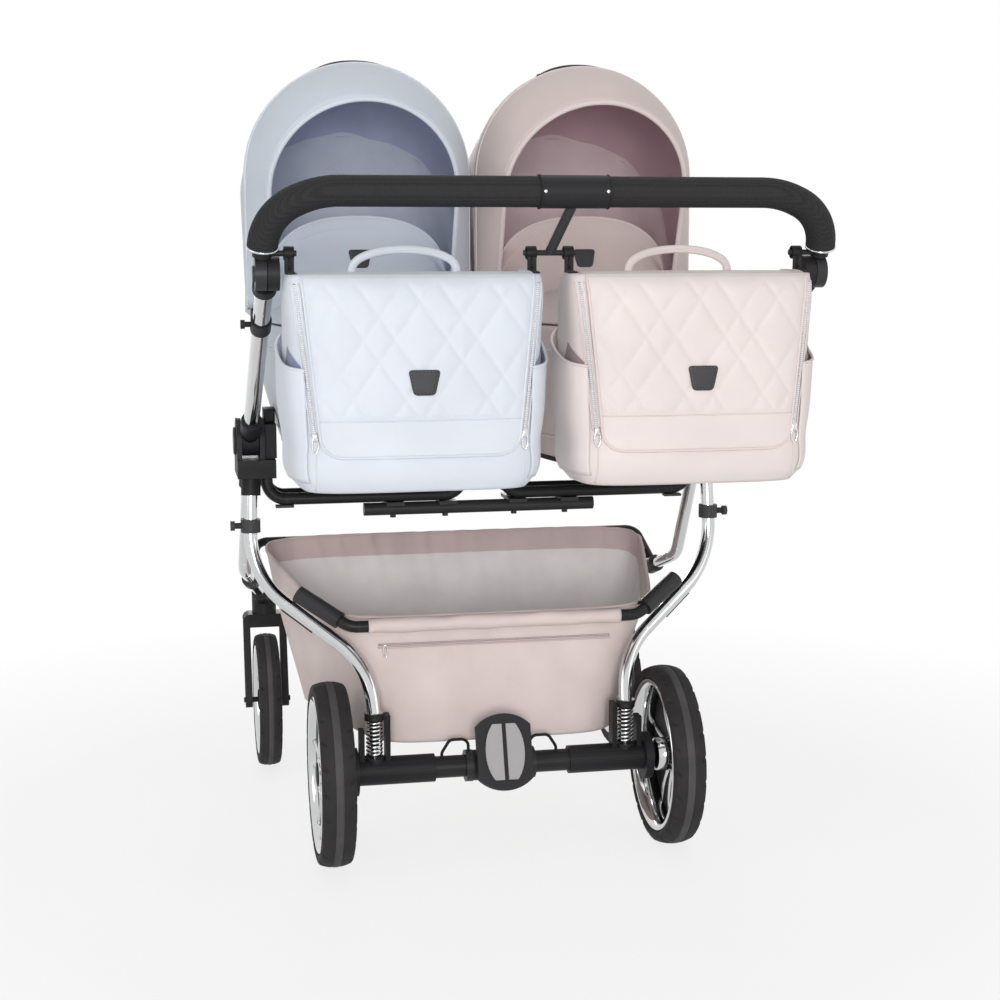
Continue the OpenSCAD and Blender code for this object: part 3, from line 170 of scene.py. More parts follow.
PIVOT_Y = 250
PIVOT_Z = 870.3
HOOD_R = 423
HOOD_HALF = 190
HOOD_NEST = 8.5
HOOD_START = 17.3
BOW_ANGLE = 87
HOOD_RIBS = (0, 30, 60, BOW_ANGLE)
HOOD_SAG = 3.2
VISOR_ANGLE = 111
VISOR_R = 381
VISOR_DRAW = 33
LINING_SEAM = 50
LINING_INSET = 5.5
LINING_FOLD = 3.6
STRIP_ANGLE = 83
STRIP_HALF = 72
RIVET_X = 66
RIVET_R = 7

APRON_LOW = 870.3
APRON_START_Y = -126
APRON_BACK_Y = 205
APRON_RISE = 40
FLAP_BASE_Y = 232
FLAP_TOP_Y = 262
FLAP_H = 166
FLAP_HALF = 150
APRON_PATCH_Z = 968

BASKET_FLOOR_Z = 182
BASKET_REAR = ((195, 30, BASKET_FLOOR_Z), (225, 46, 285), (275, 60, 388))
BASKET_FRONT = ((315, 395, BASKET_FLOOR_Z), (350, 458, 327), (372, 492, 452))
BASKET_ROUND = 7
REAR_BAR_Y = 48.246
REAR_BAR_Z = 378
REAR_BAR_R = 10
BASKET_COLUMNS = 360
HEM_ROW = 24
BASKET_ZIP = 0.79
BASKET_ZIP_HALF = 196
ROLL_HALF = 212

ARM_Y = 192.5
ARM_Z = 700.3
ARM_W = 48
ARM_H = 24
ARM_WALL = 153.2
SOCKET_OUT_X = 347
SOCKET_IN_X = 24.5
SOCKET_W = 19
LIFT_LEAN = math.radians(30)

REAR_KNEE = np.array((396.0, 130.0, 450.0))
REAR_ANKLE = np.array((215.0, 30.0, 318.5))
LEG_R = 11
LEVER_POINT = np.array((412.2, 175.0, 672.0))


# Curves and surfaces


def smooth_value(x, xs, ys):
    """Height at x of a smooth curve through the points xs, ys."""
    xs = np.asarray(xs, float)
    ys = np.asarray(ys, float)
    slopes = np.gradient(ys, xs)
    i = np.clip(np.searchsorted(xs, x) - 1, 0, len(xs) - 2)
    step = xs[i + 1] - xs[i]
    t = (x - xs[i]) / step
    return (
        ys[i] * (1 + 2 * t) * (1 - t) ** 2
        + slopes[i] * step * t * (1 - t) ** 2
        + ys[i + 1] * t ** 2 * (3 - 2 * t)
        + slopes[i + 1] * step * t ** 2 * (t - 1)
    )


def ease(t):
    """Smooth step from 0 to 1."""
    t = np.clip(t, 0, 1)
    return t * t * (3 - 2 * t)


def signed_power(value, power):
    return np.sign(value) * np.abs(value) ** power


def resample(points, count, closed=False):
    """The same line with evenly spaced points."""
    points = np.asarray(points, float)
    if closed:
        points = np.vstack([points, points[:1]])
    run = np.concatenate([[0], np.cumsum(np.linalg.norm(np.diff(points, axis=0), axis=1))])
    marks = np.linspace(0, run[-1], count + 1)[:-1] if closed else np.linspace(0, run[-1], count)
    return np.column_stack([np.interp(marks, run, points[:, k]) for k in range(points.shape[1])])


def rounded_path(corners, radius, steps=8):
    """Line through corners with each inner corner rounded."""
    corners = [np.asarray(c, float) for c in corners]
    path = [corners[0]]
    for before, corner, after in zip(corners, corners[1:], corners[2:]):
        back = before - corner
        ahead = after - corner
        reach = min(radius, np.linalg.norm(back) / 2.01, np.linalg.norm(ahead) / 2.01)
        start = corner + back / np.linalg.norm(back) * reach
        stop = corner + ahead / np.linalg.norm(ahead) * reach
        for t in np.linspace(0, 1, steps + 1):
            path.append(start * (1 - t) ** 2 + corner * 2 * t * (1 - t) + stop * t ** 2)
    path.append(corners[-1])
    return np.array(path)


def mesh_object(name, points, faces, material):
    """Smooth mesh from points in millimetres off the rear axle."""
    mesh = bpy.data.meshes.new(name)
    mesh.from_pydata([place_of(*p) for p in points], [], faces)
    mesh.shade_smooth()
    mesh.materials.append(material)
    obj = bpy.data.objects.new(name, mesh)
    bpy.context.scene.collection.objects.link(obj)
    return obj


def grid_faces(rows, columns, closed, flip):
    last = columns if closed else columns - 1
    faces = []
    for i in range(rows - 1):
        for j in range(last):
            k = (j + 1) % columns
            face = (i * columns + j, i * columns + k, (i + 1) * columns + k, (i + 1) * columns + j)
            faces.append(face[::-1] if flip else face)
    return faces


def surface(name, rows, material, closed=False, flip=False, cap_first=False, cap_last=False):
    """Mesh through rows of points; a closed one runs round each row."""
    rows = np.asarray(rows, float)
    count, columns = rows.shape[:2]
    faces = grid_faces(count, columns, closed, flip)
    first = tuple(range(columns))
    last = tuple(range((count - 1) * columns, count * columns))
    if cap_first:
        faces.append(first if flip else first[::-1])
    if cap_last:
        faces.append(last[::-1] if flip else last)
    return mesh_object(name, rows.reshape(-1, 3), faces, material)


def full_circle(count):
    """Even turns round a circle."""
    return np.linspace(0, 2 * np.pi, count, endpoint=False)


def circle_section(radius, sides):
    turns = full_circle(sides)
    return np.column_stack([np.cos(turns), np.sin(turns)]) * radius


def level(ring, z, shift=(0, 0)):
    """Ring of (x, y) points at a height."""
    return np.column_stack([ring + np.asarray(shift), np.full(len(ring), z)])


def flat_section(width, height, corner, steps=4):
    """Rounded rectangle, width along the first axis."""
    points = []
    for k, (sx, sy) in enumerate(((1, 1), (-1, 1), (-1, -1), (1, -1))):
        for turn in np.linspace(k * np.pi / 2, (k + 1) * np.pi / 2, steps + 1):
            points.append((sx * (width / 2 - corner) + corner * np.cos(turn),
                           sy * (height / 2 - corner) + corner * np.sin(turn)))
    return np.array(points)


def sweep(path, section, side=None, closed=False):
    """Rings of a section carried along a path. side keeps the section's first axis in place."""
    path = np.asarray(path, float)
    if closed:
        ways = np.roll(path, -1, axis=0) - np.roll(path, 1, axis=0)
    else:
        ways = np.gradient(path, axis=0)
    ways /= np.linalg.norm(ways, axis=1)[:, None]
    first = np.asarray(side, float) if side is not None else np.eye(3)[np.argmin(np.abs(ways[0]))]
    rings = []
    for point, way in zip(path, ways):
        across = first - way * np.dot(first, way)
        across /= np.linalg.norm(across)
        up = np.cross(way, across)
        rings.append([point + across * a + up * b for a, b in section])
        if side is None:
            first = across
    if closed:
        rings.append(rings[0])
    return np.array(rings)


def tube(name, path, radius, material, sides=8, closed=False):
    rings = sweep(path, circle_section(radius, sides), closed=closed)
    return surface(name, rings, material, closed=True, cap_first=not closed, cap_last=not closed)


def band(name, path, width, height, corner, side, material):
    """Flat strap along a path."""
    rings = sweep(path, flat_section(width, height, corner), side)
    return surface(name, rings, material, closed=True, cap_first=True, cap_last=True)


def wheel_row(centre, x, radius, turns):
    """Circle about X; an array of radii makes a wavy one."""
    y = centre[1] + radius * np.cos(turns)
    z = centre[2] + radius * np.sin(turns)
    return np.column_stack([np.full(len(turns), centre[0] + x), y, z])


def revolve_x(name, profile, centre, material, segments, flip):
    """Solid of revolution about X: profile is a list of (x, radius)."""
    turns = full_circle(segments)
    rows = [wheel_row(centre, x, radius, turns) for x, radius in profile]
    return surface(name, rows, material, closed=True, flip=flip)


def revolve_side(name, profile, centre, side, material, segments):
    """Solid of revolution about X whose profile runs outwards on one side."""
    shape = [(side * x, radius) for x, radius in profile]
    return revolve_x(name, shape, centre, material, segments, flip=side > 0)


def join(name, parts):
    """One object of several."""
    bpy.ops.object.select_all(action="DESELECT")
    for part in parts:
        part.select_set(True)
    bpy.context.view_layer.objects.active = parts[0]
    bpy.ops.object.join()
    parts[0].name = name
    parts[0].data.name = name
    return parts[0]


def thicken(obj, thickness, offset):
    solid = obj.modifiers.new("thickness", "SOLIDIFY")
    solid.thickness = thickness / 1000
    solid.offset = offset


def second_material(obj, material, chosen):
    """Gives another material to the faces that chosen picks."""
    obj.data.materials.append(material)
    for face in obj.data.polygons:
        if chosen(face):
            face.material_index = 1


def settle(obj, body):
    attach(obj, body)
    return obj


# Materials


class Shader:
    """Builder of one node material."""

    def __init__(self, name):
        self.material = bpy.data.materials.new(name)
        self.material.use_nodes = True
        self.tree = self.material.node_tree
        self.surface = self.tree.nodes["Principled BSDF"]
        self.place = self.node("ShaderNodeTexCoord").outputs["Object"]

    def node(self, kind, **values):
        made = self.tree.nodes.new(kind)
        for key, value in values.items():
            if key in made.inputs:
                made.inputs[key].default_value = value
            else:
                setattr(made, key, value)
        return made

    def link(self, a, b):
        self.tree.links.new(a, b)

    def fix(self, name, value):
        """Sets one plain value of the surface."""
        self.surface.inputs[name].default_value = value

    def noise(self, scale, detail=3.0):
        made = self.node("ShaderNodeTexNoise", Scale=scale, Detail=detail)
        self.link(self.place, made.inputs["Vector"])
        return made.outputs["Fac"]

    def cells(self, scale, randomness=1.0):
        made = self.node("ShaderNodeTexVoronoi", Scale=scale, Randomness=randomness)
        self.link(self.place, made.inputs["Vector"])
        return made.outputs["Distance"]

    def waves(self, scale, direction):
        made = self.node("ShaderNodeTexWave", Scale=scale, bands_direction=direction)
        self.link(self.place, made.inputs["Vector"])
        return made.outputs["Fac"]

    def math(self, operation, a, b):
        made = self.node("ShaderNodeMath", operation=operation)
        for socket, value in zip(made.inputs, (a, b)):
            if isinstance(value, (int, float)):
                socket.default_value = value
            else:
                self.link(value, socket)
        return made.outputs["Value"]

    def tint(self, factor, low, high, start=0.3, stop=0.7):
        """Base colour that goes from low to high."""
        ramp = self.node("ShaderNodeValToRGB")
        ramp.color_ramp.elements[0].position = start
        ramp.color_ramp.elements[0].color = (*low, 1)
        ramp.color_ramp.elements[1].position = stop
        ramp.color_ramp.elements[1].color = (*high, 1)
        self.link(factor, ramp.inputs["Fac"])
        self.link(ramp.outputs["Color"], self.surface.inputs["Base Color"])

    def rough(self, factor, low, high):
        spread = self.node("ShaderNodeMapRange")
        spread.inputs["To Min"].default_value = low
        spread.inputs["To Max"].default_value = high
        self.link(factor, spread.inputs["Value"])
        self.link(spread.outputs["Result"], self.surface.inputs["Roughness"])

    def bump(self, height, strength, distance):
        made = self.node("ShaderNodeBump", Strength=strength, Distance=distance)
        self.link(height, made.inputs["Height"])
        self.link(made.outputs["Normal"], self.surface.inputs["Normal"])


def shade(colour, factor):
    return tuple(min(1.0, c * factor) for c in colour)


def linear(red, green, blue):
    """Linear colour of an 8-bit one."""
    return tuple(
        v / 255 / 12.92 if v <= 10 else ((v / 255 + 0.055) / 1.055) ** 2.4 for v in (red, green, blue)
    )


def leatherette(name, colour):
    """Soft coated cloth with a fine pebble grain."""
    made = Shader(name)
    grain = made.cells(1500)
    made.tint(made.noise(9), shade(colour, 0.955), shade(colour, 1.02))
    made.rough(made.noise(60), 0.46, 0.6)
    made.bump(made.math("ADD", made.math("MULTIPLY", grain, 0.7), made.noise(240)), 0.16, 0.0006)
    made.fix("Sheen Weight", 0.12)
    made.fix("Specular IOR Level", 0.35)
    return made.material


def woven(name, colour, pitch=900, strength=0.3):
    """Plain woven cloth."""
    made = Shader(name)
    flat_threads = made.math("ADD", made.waves(pitch, "Y"), made.waves(pitch, "Z"))
    threads = made.math("ADD", made.waves(pitch, "X"), flat_threads)
    made.tint(made.noise(14), shade(colour, 0.93), shade(colour, 1.04))
    made.rough(made.noise(80), 0.72, 0.9)
    made.bump(threads, strength, 0.0005)
    made.fix("Sheen Weight", 0.2)
    return made.material


def polished_metal(name, colour, low, high):
    made = Shader(name)
    made.fix("Metallic", 1)
    made.tint(made.noise(18), shade(colour, 0.95), colour)
    made.rough(made.noise(45), low, high)
    made.bump(made.noise(900), 0.02, 0.0002)
    return made.material


# Specular level of plastics, foam and rubber
DULL = 0.15


def moulded(name, colour, low, high, grain=1400, strength=0.12):
    """Moulded plastic or coated steel with a fine grain, paler at its edges."""
    made = Shader(name)
    wear = made.node("ShaderNodeNewGeometry").outputs["Pointiness"]
    edge = made.math("ADD", wear, made.math("MULTIPLY", made.noise(30), 0.04))
    made.tint(edge, colour, shade(colour, 1.9), 0.53, 0.6)
    made.rough(made.noise(70), low, high)
    made.bump(made.noise(grain), strength, 0.0004)
    made.fix("Specular IOR Level", DULL)
    return made.material


def dimpled_foam(name, colour):
    made = Shader(name)
    dots = made.cells(330, 0.1)
    # painted shade in the dimples and painted highlight on the land between them, on the same cells as the
    # bump
    made.tint(dots, shade(colour, 0.6), shade(colour, 1.5), 0.1, 0.6)
    made.rough(made.noise(90), 0.62, 0.8)
    made.bump(dots, 0.6, 0.0014)
    made.fix("Specular IOR Level", DULL)
    return made.material


def rubber(name, colour):
    made = Shader(name)
    made.tint(made.noise(22), shade(colour, 0.85), shade(colour, 1.18))
    made.rough(made.noise(60), 0.6, 0.82)
    made.bump(made.noise(700), 0.2, 0.0006)
    made.fix("Specular IOR Level", DULL)
    return made.material


def webbing_cloth(name, colour):
    made = Shader(name)
    twill = made.waves(420, "DIAGONAL")
    made.tint(twill, shade(colour, 0.7), shade(colour, 1.3), 0.2, 0.8)
    made.rough(made.noise(60), 0.6, 0.75)
    made.bump(twill, 0.5, 0.0007)
    return made.material


def zip_teeth(name, colour, direction, metallic, dark, low):
    """Row of teeth along one axis."""
    made = Shader(name)
    teeth = made.waves(110, direction)
    made.fix("Metallic", metallic)
    made.tint(teeth, shade(colour, dark), colour, 0.3, 0.6)
    made.rough(made.noise(80), low, low + 0.15)
    made.bump(teeth, 0.8, 0.0012)
    return made.material


# Cloths of each side, as 8-bit colours
CLOTH_KINDS = {
    "bag": (leatherette, "leatherette", {"left": (214, 219, 228), "right": (225, 214, 211)}),
    # hood cloth of the hood, cot tub and apron: the bag's leatherette painted darker, as painted shade
    "hood": (leatherette, "hood_leatherette", {"left": (203, 211, 221), "right": (210, 195, 191)}),
    "piping": (leatherette, "piping", {"left": (214, 219, 227), "right": (222, 208, 206)}),
    "lining": (woven, "lining", {"left": (200, 205, 234), "right": (222, 188, 200)}),
    "panel": (woven, "lining_panel", {"left": (228, 236, 249), "right": (246, 226, 230)}),
    # pocket cloth: a dark sheet behind each pocket's mouth, painted shade inside the pocket
    "pocket": (woven, "pocket_lining", {"left": (128, 136, 168), "right": (150, 130, 130)}),
}
HUES = {"left": "blue", "right": "pink"}
CLOTH = {
    label: {kind: make(f"{hue}_{name}", linear(*colours[label]))
            for kind, (make, name, colours) in CLOTH_KINDS.items()}
    for label, hue in HUES.items()
}
BASKET_OUT = woven("basket_cloth_rose", linear(222, 206, 201), 1100, 0.16)
BASKET_IN = woven("basket_lining_grey", linear(234, 228, 227), 1000, 0.2)
BASKET_HEM = woven("basket_hem", linear(208, 188, 186), 1000, 0.2)
MATTRESS_CLOTH = woven("mattress_cotton", linear(238, 237, 233), 700, 0.4)
CHROME = polished_metal("chrome_tube", (0.62, 0.625, 0.63), 0.07, 0.15)
RIM_CHROME = polished_metal("chrome_rim", (0.62, 0.625, 0.63), 0.06, 0.13)
SPRING_METAL = polished_metal("spring_wire", (0.74, 0.74, 0.74), 0.14, 0.24)
PIN_METAL = polished_metal("pin_metal", (0.55, 0.55, 0.56), 0.2, 0.32)
COATED = moulded("black_coated_tube", (0.020, 0.020, 0.021), 0.3, 0.42, 1800, 0.06)
PLASTIC = moulded("black_moulded_plastic", (0.011, 0.011, 0.012), 0.42, 0.56)
GREY_PLASTIC = moulded("grey_moulded_plastic", (0.03, 0.03, 0.031), 0.42, 0.55)
PAD = moulded("pedal_pad_rubber", (0.21, 0.205, 0.205), 0.6, 0.75, 900, 0.3)
FOAM = dimpled_foam("dimpled_grip", (0.020, 0.020, 0.021))
TYRE_RUBBER = rubber("tyre_rubber", (0.030, 0.028, 0.029))
STRIP_RUBBER = rubber("tyre_centre_strip", (0.075, 0.072, 0.073))
WEBBING = webbing_cloth("black_webbing", (0.013, 0.013, 0.014))
PATCH_LEATHER = leatherette("dark_patch_leather", (0.035, 0.035, 0.038))
STITCH = woven("stitch_thread", (0.11, 0.11, 0.12), 2500, 0.5)
ZIP = zip_teeth("zip_teeth", (0.82, 0.83, 0.85), "Z", 0.3, 0.7, 0.25)
ZIP_LONG = zip_teeth("basket_zip_teeth", (0.62, 0.53, 0.52), "X", 0.5, 0.6, 0.3)

# Solids that keep their CAD shape; a name with a star stands for its left and right one
NODE_MATERIALS = {
    CHROME: ("rear_leg_*", "front_leg_*", "upright_*"),
    COATED: ("seat_carrier_*", "carrier_cross_tube", "basket_rear_bar", "basket_front_bar", "bag_hook",
             "rear_axle", "handlebar"),
    PLASTIC: ("hinge_*", "cot_sockets", "swivel_head_*", "axle_carrier_*", "brake_cables", "brake_pedal",
              "front_fork_*", "upright_knuckles", "handle_joints", "fold_release_*", "handle_sleeve"),
    GREY_PLASTIC: ("frame_fittings", "angle_button_*"),
    PIN_METAL: ("hinge_pins",),
    PAD: ("pedal_grips",),
    FOAM: ("handle_grips",),
}


def dress_nodes():
    """Gives each kept solid its material."""
    for material, patterns in NODE_MATERIALS.items():
        names = {pattern.replace("*", label) for pattern in patterns for label, _ in SIDES}
        for name in sorted(names):
            mesh = frame["nodes"][name].data
            mesh.materials.clear()
            mesh.materials.append(material)


def settle_cloth(obj, body):
    return settle(obj, body)


def piping(name, path, radius, label, body, sides=8, closed=False):
    """Piped edge or seam in the cloth of one side."""
    return settle_cloth(tube(name, path, radius, CLOTH[label]["piping"], sides, closed), body)


def pull_loop(name, foot, half_w, half_h, out, count):
    """Wire loop that hangs from a zip's slider."""
    loop = [foot + np.array((half_w * math.sin(t), -out, half_h * math.cos(t) - half_h))
            for t in full_circle(count)]
    return tube(name, loop, 1.1, SPRING_METAL, closed=True)


# Wheels


def tyre_profile(outer, rim, width):
    """Section of a tyre from one bead over the crown to the other, as (x, radius)."""
    crown = width * 1.1
    half = width / 2
    points = [(-half + 5, rim + 0.4), (-half + 1.5, rim + 1.5), (-half, rim + 6)]
    shoulder = outer - crown + math.sqrt(crown ** 2 - (half - 3) ** 2)
    points.append((-half + 0.1, shoulder - 6))
    points.append((-half + 1.1, shoulder - 2.2))
    for x in np.linspace(-half + 3, half - 3, 33):
        points.append((x, outer - crown + math.sqrt(crown ** 2 - x ** 2)))
    points.append((half - 1.1, shoulder - 2.2))
    points.append((half - 0.1, shoulder - 6))
    points += [(half, rim + 6), (half - 1.5, rim + 1.5), (half - 5, rim + 0.4)]
    return points


def make_tyre(name, centre, outer, rim, width, notches, body):
    """Tyre with a pale centre strip between two grooves, and slanted notches on both shoulders."""
    strip = width * STRIP_SHARE
    plain = strip * PLAIN_SHARE
    turns = full_circle(TYRE_SEGMENTS)
    rows = []
    for x, radius in tyre_profile(outer, rim, width):
        depth = np.zeros(TYRE_SEGMENTS)
        if radius > outer - TREAD_DEPTH:
            depth += GROOVE_DEPTH * math.exp(-(((abs(x) - strip) / GROOVE_HALF) ** 2))
            reach = (abs(x) - plain) / (width / 2 - plain)
            if reach > NOTCH_START:
                stagger = 0.5 if x > 0 else 0
                phase = (turns * notches / (2 * np.pi) + NOTCH_LEAN * reach + stagger) % 1
                gap = np.minimum(phase, 1 - phase) * 2 * np.pi * outer / notches
                wedge = np.maximum(0, 1 - gap / (1.5 + 3.5 * reach))
                depth += NOTCH_DEPTH * wedge * ease((reach - NOTCH_START) / 0.25)
        rows.append(wheel_row(centre, x, radius - depth, turns))
    tyre = surface(name, rows, TYRE_RUBBER, closed=True)

    def on_strip(face):
        return abs(face.center.x * 1000 - centre[0]) < strip and face.index // TYRE_SEGMENTS in TREAD_ROWS

    second_material(tyre, STRIP_RUBBER, on_strip)
    return settle(tyre, body)


def make_rim(name, centre, side, rim, width, body):
    """Dished rim: a deep lip, a hub with its cap, a dark disc and pairs of curved spokes."""
    half = width / 2
    half_lip = [(half - 8, rim - 13), (half - 3, rim - 8), (half - 0.6, rim - 4), (half - 1, rim - 1),
                (half - 4.5, rim - 0.3)]
    lip = [(-x, r) for x, r in half_lip[::-1]] + [(0, rim - 14)] + half_lip
    parts = [revolve_x(name, lip, centre, RIM_CHROME, 128, flip=True)]
    face = half - 6
    barrel = [(-face, 9), (-face, HUB_R - 8), (-half + 8, HUB_R - 5), (0, HUB_R - 4), (face - 9, HUB_R - 3),
              (face - 3, HUB_R - 5), (face, HUB_R - 9), (face, 0.1)]
    cap = [(face - 0.5, HUB_R - 12), (face + 1.8, HUB_R - 13), (face + 2.6, HUB_R - 17), (face + 2.9, 8),
           (face + 2.4, 6), (face + 2.4, 0.1)]
    disc = [(face - 8.5, HUB_R - 5), (face - 8.5, rim - 13), (face - 7.5, rim - 13), (face - 7.5, HUB_R - 5)]
    for tag, profile, material, segments in (("hub", barrel, RIM_CHROME, 64), ("cap", cap, PLASTIC, 48),
                                             ("disc", disc, PLASTIC, 96)):
        parts.append(revolve_side(f"{name}_{tag}", profile, centre, side, material, segments))
    for k in range(2 * SPOKE_PAIRS):
        twin = 1 if k % 2 else -1
        turn = 2 * np.pi * (k // 2) / SPOKE_PAIRS + twin * SPOKE_SPREAD
        path = []
        for t in np.linspace(0, 1, 12):
            radius = HUB_R - 6 + (rim - 6 - HUB_R) * t
            dish = face - 5 - 4.5 * math.sin(math.pi * t * 0.9)
            lean = turn + twin * SPOKE_LEAN * (1 - t)
            path.append((centre[0] + side * dish, centre[1] + radius * math.cos(lean),
                         centre[2] + radius * math.sin(lean)))
        parts.append(band(f"{name}_spoke_{k}", path, 9, 9.5, 3, (1, 0, 0), RIM_CHROME))
    return settle(join(name, parts), body)


def make_wheels():
    for label, side in SIDES:
        for axle, (x, y, z), outer, rim, width, notches in WHEELS:
            centre = (side * x, y, z)
            body = f"{axle}_wheel_{label}"
            tyre = make_tyre(f"{axle}_tyre_tread_{label}", centre, outer, rim, width, notches, body)
            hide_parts(f"{axle}_tyre_{label}")
            dished = make_rim(f"{axle}_rim_dished_{label}", centre, side, rim, width, body)
            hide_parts(f"{axle}_rim_{label}")


def make_springs():
    """Both coils round a core under a cap."""
    height = SPRING_TOP_Z - SPRING_LOW_Z
    steps = SPRING_TURNS * COIL_POINTS
    parts = []
    for label, side in SIDES:
        path = []
        for k in range(steps + 1):
            turn = 2 * np.pi * k / COIL_POINTS
            rise = ease(k / steps) * 0.12 + 0.88 * k / steps
            z = SPRING_LOW_Z + SPRING_WIRE_R + (height - 2 * SPRING_WIRE_R) * rise
            path.append((side * SPRING_X + SPRING_R * math.cos(turn), SPRING_R * math.sin(turn), z))
        parts.append(tube("coil_" + label, path, SPRING_WIRE_R, SPRING_METAL))
    coils = settle(join("rear_coils", parts), "chassis")
    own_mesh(coils)
    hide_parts("rear_springs")
    core = np.linspace(SPRING_LOW_Z + 19.2, SPRING_TOP_Z, 6)
    cap = (SPRING_TOP_Z + 0.2, SPRING_TOP_Z + 1, SPRING_TOP_Z + 12)
    for label, side in SIDES:
        for name, heights, radius, sides in (("core", core, 7.6, 24), ("cap", cap, 15.6, 36)):
            path = [(side * SPRING_X, 0, z) for z in heights]
            settle(tube(f"spring_{name}_{label}", path, radius, PLASTIC, sides), "chassis")


# Bags


@functools.lru_cache(maxsize=None)
def bag_ring(share, out, count):
    """Evenly spaced ring round a bag at a share of its height, about the bag's own middle."""
    half_x = BAG_HALF_X * smooth_value(share, BAG_SHARES, BAG_WIDE) + out
    half_y = BAG_HALF_Y * smooth_value(share, BAG_SHARES, BAG_DEEP) + out
    narrow = smooth_value(share, BAG_SHARES, BAG_FRONT)
    turns = full_circle(1440)
    depth = (1 + signed_power(np.sin(turns), 2 / BAG_ROUND)) / 2
    x = half_x * (narrow + (1 - narrow) * depth) * signed_power(np.cos(turns), 2 / BAG_ROUND)
    y = half_y * (2 * depth - 1)
    return resample(np.column_stack([x, y]), count, closed=True)


@functools.lru_cache(maxsize=None)
def bag_near_side(share):
    """Half ring of a bag on its pusher side, from left to right."""
    ring = bag_ring(share, 0, 360)
    near = ring[ring[:, 1] < -2]
    return near[np.argsort(near[:, 0])]


def bag_front(x, share):
    """How far a bag's pusher side lies behind the bag's middle plane at x."""
    near = bag_near_side(float(share))
    return -np.interp(x, near[:, 0], near[:, 1])


def bag_soft(x, y, share):
    """Small dents of soft cloth, in millimetres."""
    return 1.3 * math.sin(x * 0.021 + 2.1 * share + 0.4) * math.sin(5.2 * share + y * 0.03 + 0.7)


def bag_place(side):
    return np.array((side * BAG_X, BAG_Y, 0))


def bag_share(z):
    """Share of a bag's height at z."""
    return (z - BAG_BOTTOM_Z) / BAG_H


def make_bag_body(label, side):
    """Lofted shell with a soft top and base."""
    count = 144
    shift = bag_place(side)[:2]
    closing = (0.02, 0.35, 0.7, 0.93)
    rows = []
    for scale in closing:
        rows.append(level(bag_ring(0, 0, count) * scale, BAG_BOTTOM_Z - 2.5 * (1 - scale ** 4) + 1.5, shift))
    shares = np.concatenate([np.linspace(0, 0.06, 5), np.linspace(0.1, 0.9, 17), np.linspace(0.93, 1, 5)])
    for share in shares:
        ring = bag_ring(share, 0, count)
        push = np.array([bag_soft(x, y, share) for x, y in ring])
        away = ring / np.linalg.norm(ring, axis=1)[:, None]
        rows.append(level(ring + away * push[:, None], BAG_BOTTOM_Z + BAG_H * share, shift))
    for scale in closing[::-1]:
        rows.append(level(bag_ring(1, 0, count) * scale, BAG_TOP_Z + 0.8 - 2.5 * (1 - scale), shift))
    cloth = CLOTH[label]["bag"]
    shell = surface("bag_shell_" + label, rows, cloth, closed=True, cap_first=True, cap_last=True)
    settle_cloth(shell, "bag_unit_" + label)
    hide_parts("bag_" + label)


def flap_half(z):
    """Half width of a bag's flap at a height on the pusher side."""
    taper = np.interp(z, (FLAP_LOW_Z, BAG_TOP_Z), (FLAP_LOW_HALF, FLAP_TOP_HALF))
    low = np.clip((FLAP_LOW_Z + FLAP_CORNER - z) / FLAP_CORNER, 0, 1)
    return taper - FLAP_CORNER * (1 - np.sqrt(1 - low ** 2))


def quilt_rise(x, z):
    """Puff of the diamond quilting between its stitched lines, which run in pairs."""
    gaps = []
    for lean in (-1, 1):
        run = (lean * x + QUILT_SLOPE * (z - FLAP_BAND_Z)) / QUILT_W % 1
        for line in (0, QUILT_BAND, 1):
            gaps.append(abs(run - line))
    across = QUILT_W / math.hypot(1, QUILT_SLOPE)
    return QUILT_PUFF * (1 - math.exp(-min(gaps) * across / 5))


def flap_point(u, s):
    """Point of a bag's flap about the bag's middle: u runs across, s from the back edge on top to the hem."""
    if s < FLAP_TOP_RUN:
        t = s / FLAP_TOP_RUN
        y = 46 - 96 * t
        z = BAG_TOP_Z + 3.6 - 1.2 * (1 - t) - 3.2 * t ** 6
        x = FLAP_TOP_HALF * u
        back = max(0.0, BAG_HALF_Y * BAG_DEEP[-1] - bag_front(x, 1)) * t ** 3
        return np.array((x, y + back, z - 0.6 * abs(u) ** 6))
    t = (s - FLAP_TOP_RUN) / (1 - FLAP_TOP_RUN)
    z = FLAP_CUT_Z - (FLAP_CUT_Z - FLAP_LOW_Z) * t
    x = float(flap_half(z)) * u
    puff = 0.0
    if z > FLAP_BAND_Z:
        fade = ease((z - FLAP_BAND_Z) / 8) * ease((1 - abs(u)) / 0.06) * ease((BAG_TOP_Z - z) / 18)
        puff = quilt_rise(x, z) * fade
    round_off = 2.6 * math.exp(-t / 0.02)
    return np.array((x, -bag_front(x, bag_share(z)) - 4.2 - puff + round_off, z))


def make_bag_flap(label, side):
    """Quilted flap over a bag's top and pusher side, with a plain hem band and a piped edge."""
    body = "bag_unit_" + label
    shift = bag_place(side)
    across = np.linspace(-1, 1, 91)
    along = np.concatenate([np.linspace(0, FLAP_TOP_RUN, 12)[:-1], np.linspace(FLAP_TOP_RUN, 1, 96)])
    rows = [[flap_point(u, s) + shift for u in across] for s in along]
    flap = settle_cloth(surface("bag_flap_" + label, rows, CLOTH[label]["bag"]), body)
    thicken(flap, 2.2, -1.0 if flap.data.polygons[0].normal.z > 0 else 1.0)
    edge = [row[0] for row in rows] + rows[-1][1:] + [row[-1] for row in rows[-2::-1]]
    piping("bag_flap_piping_" + label, resample(edge, 220), 2.1, label, body)
    drop = (FLAP_CUT_Z - FLAP_BAND_Z) / (FLAP_CUT_Z - FLAP_LOW_Z)
    seam_s = FLAP_TOP_RUN + (1 - FLAP_TOP_RUN) * drop
    seam = [flap_point(u, seam_s) + shift + np.array((0, -0.5, 0)) for u in np.linspace(-0.99, 0.99, 60)]
    piping("bag_flap_seam_" + label, seam, 0.9, label, body, 6)


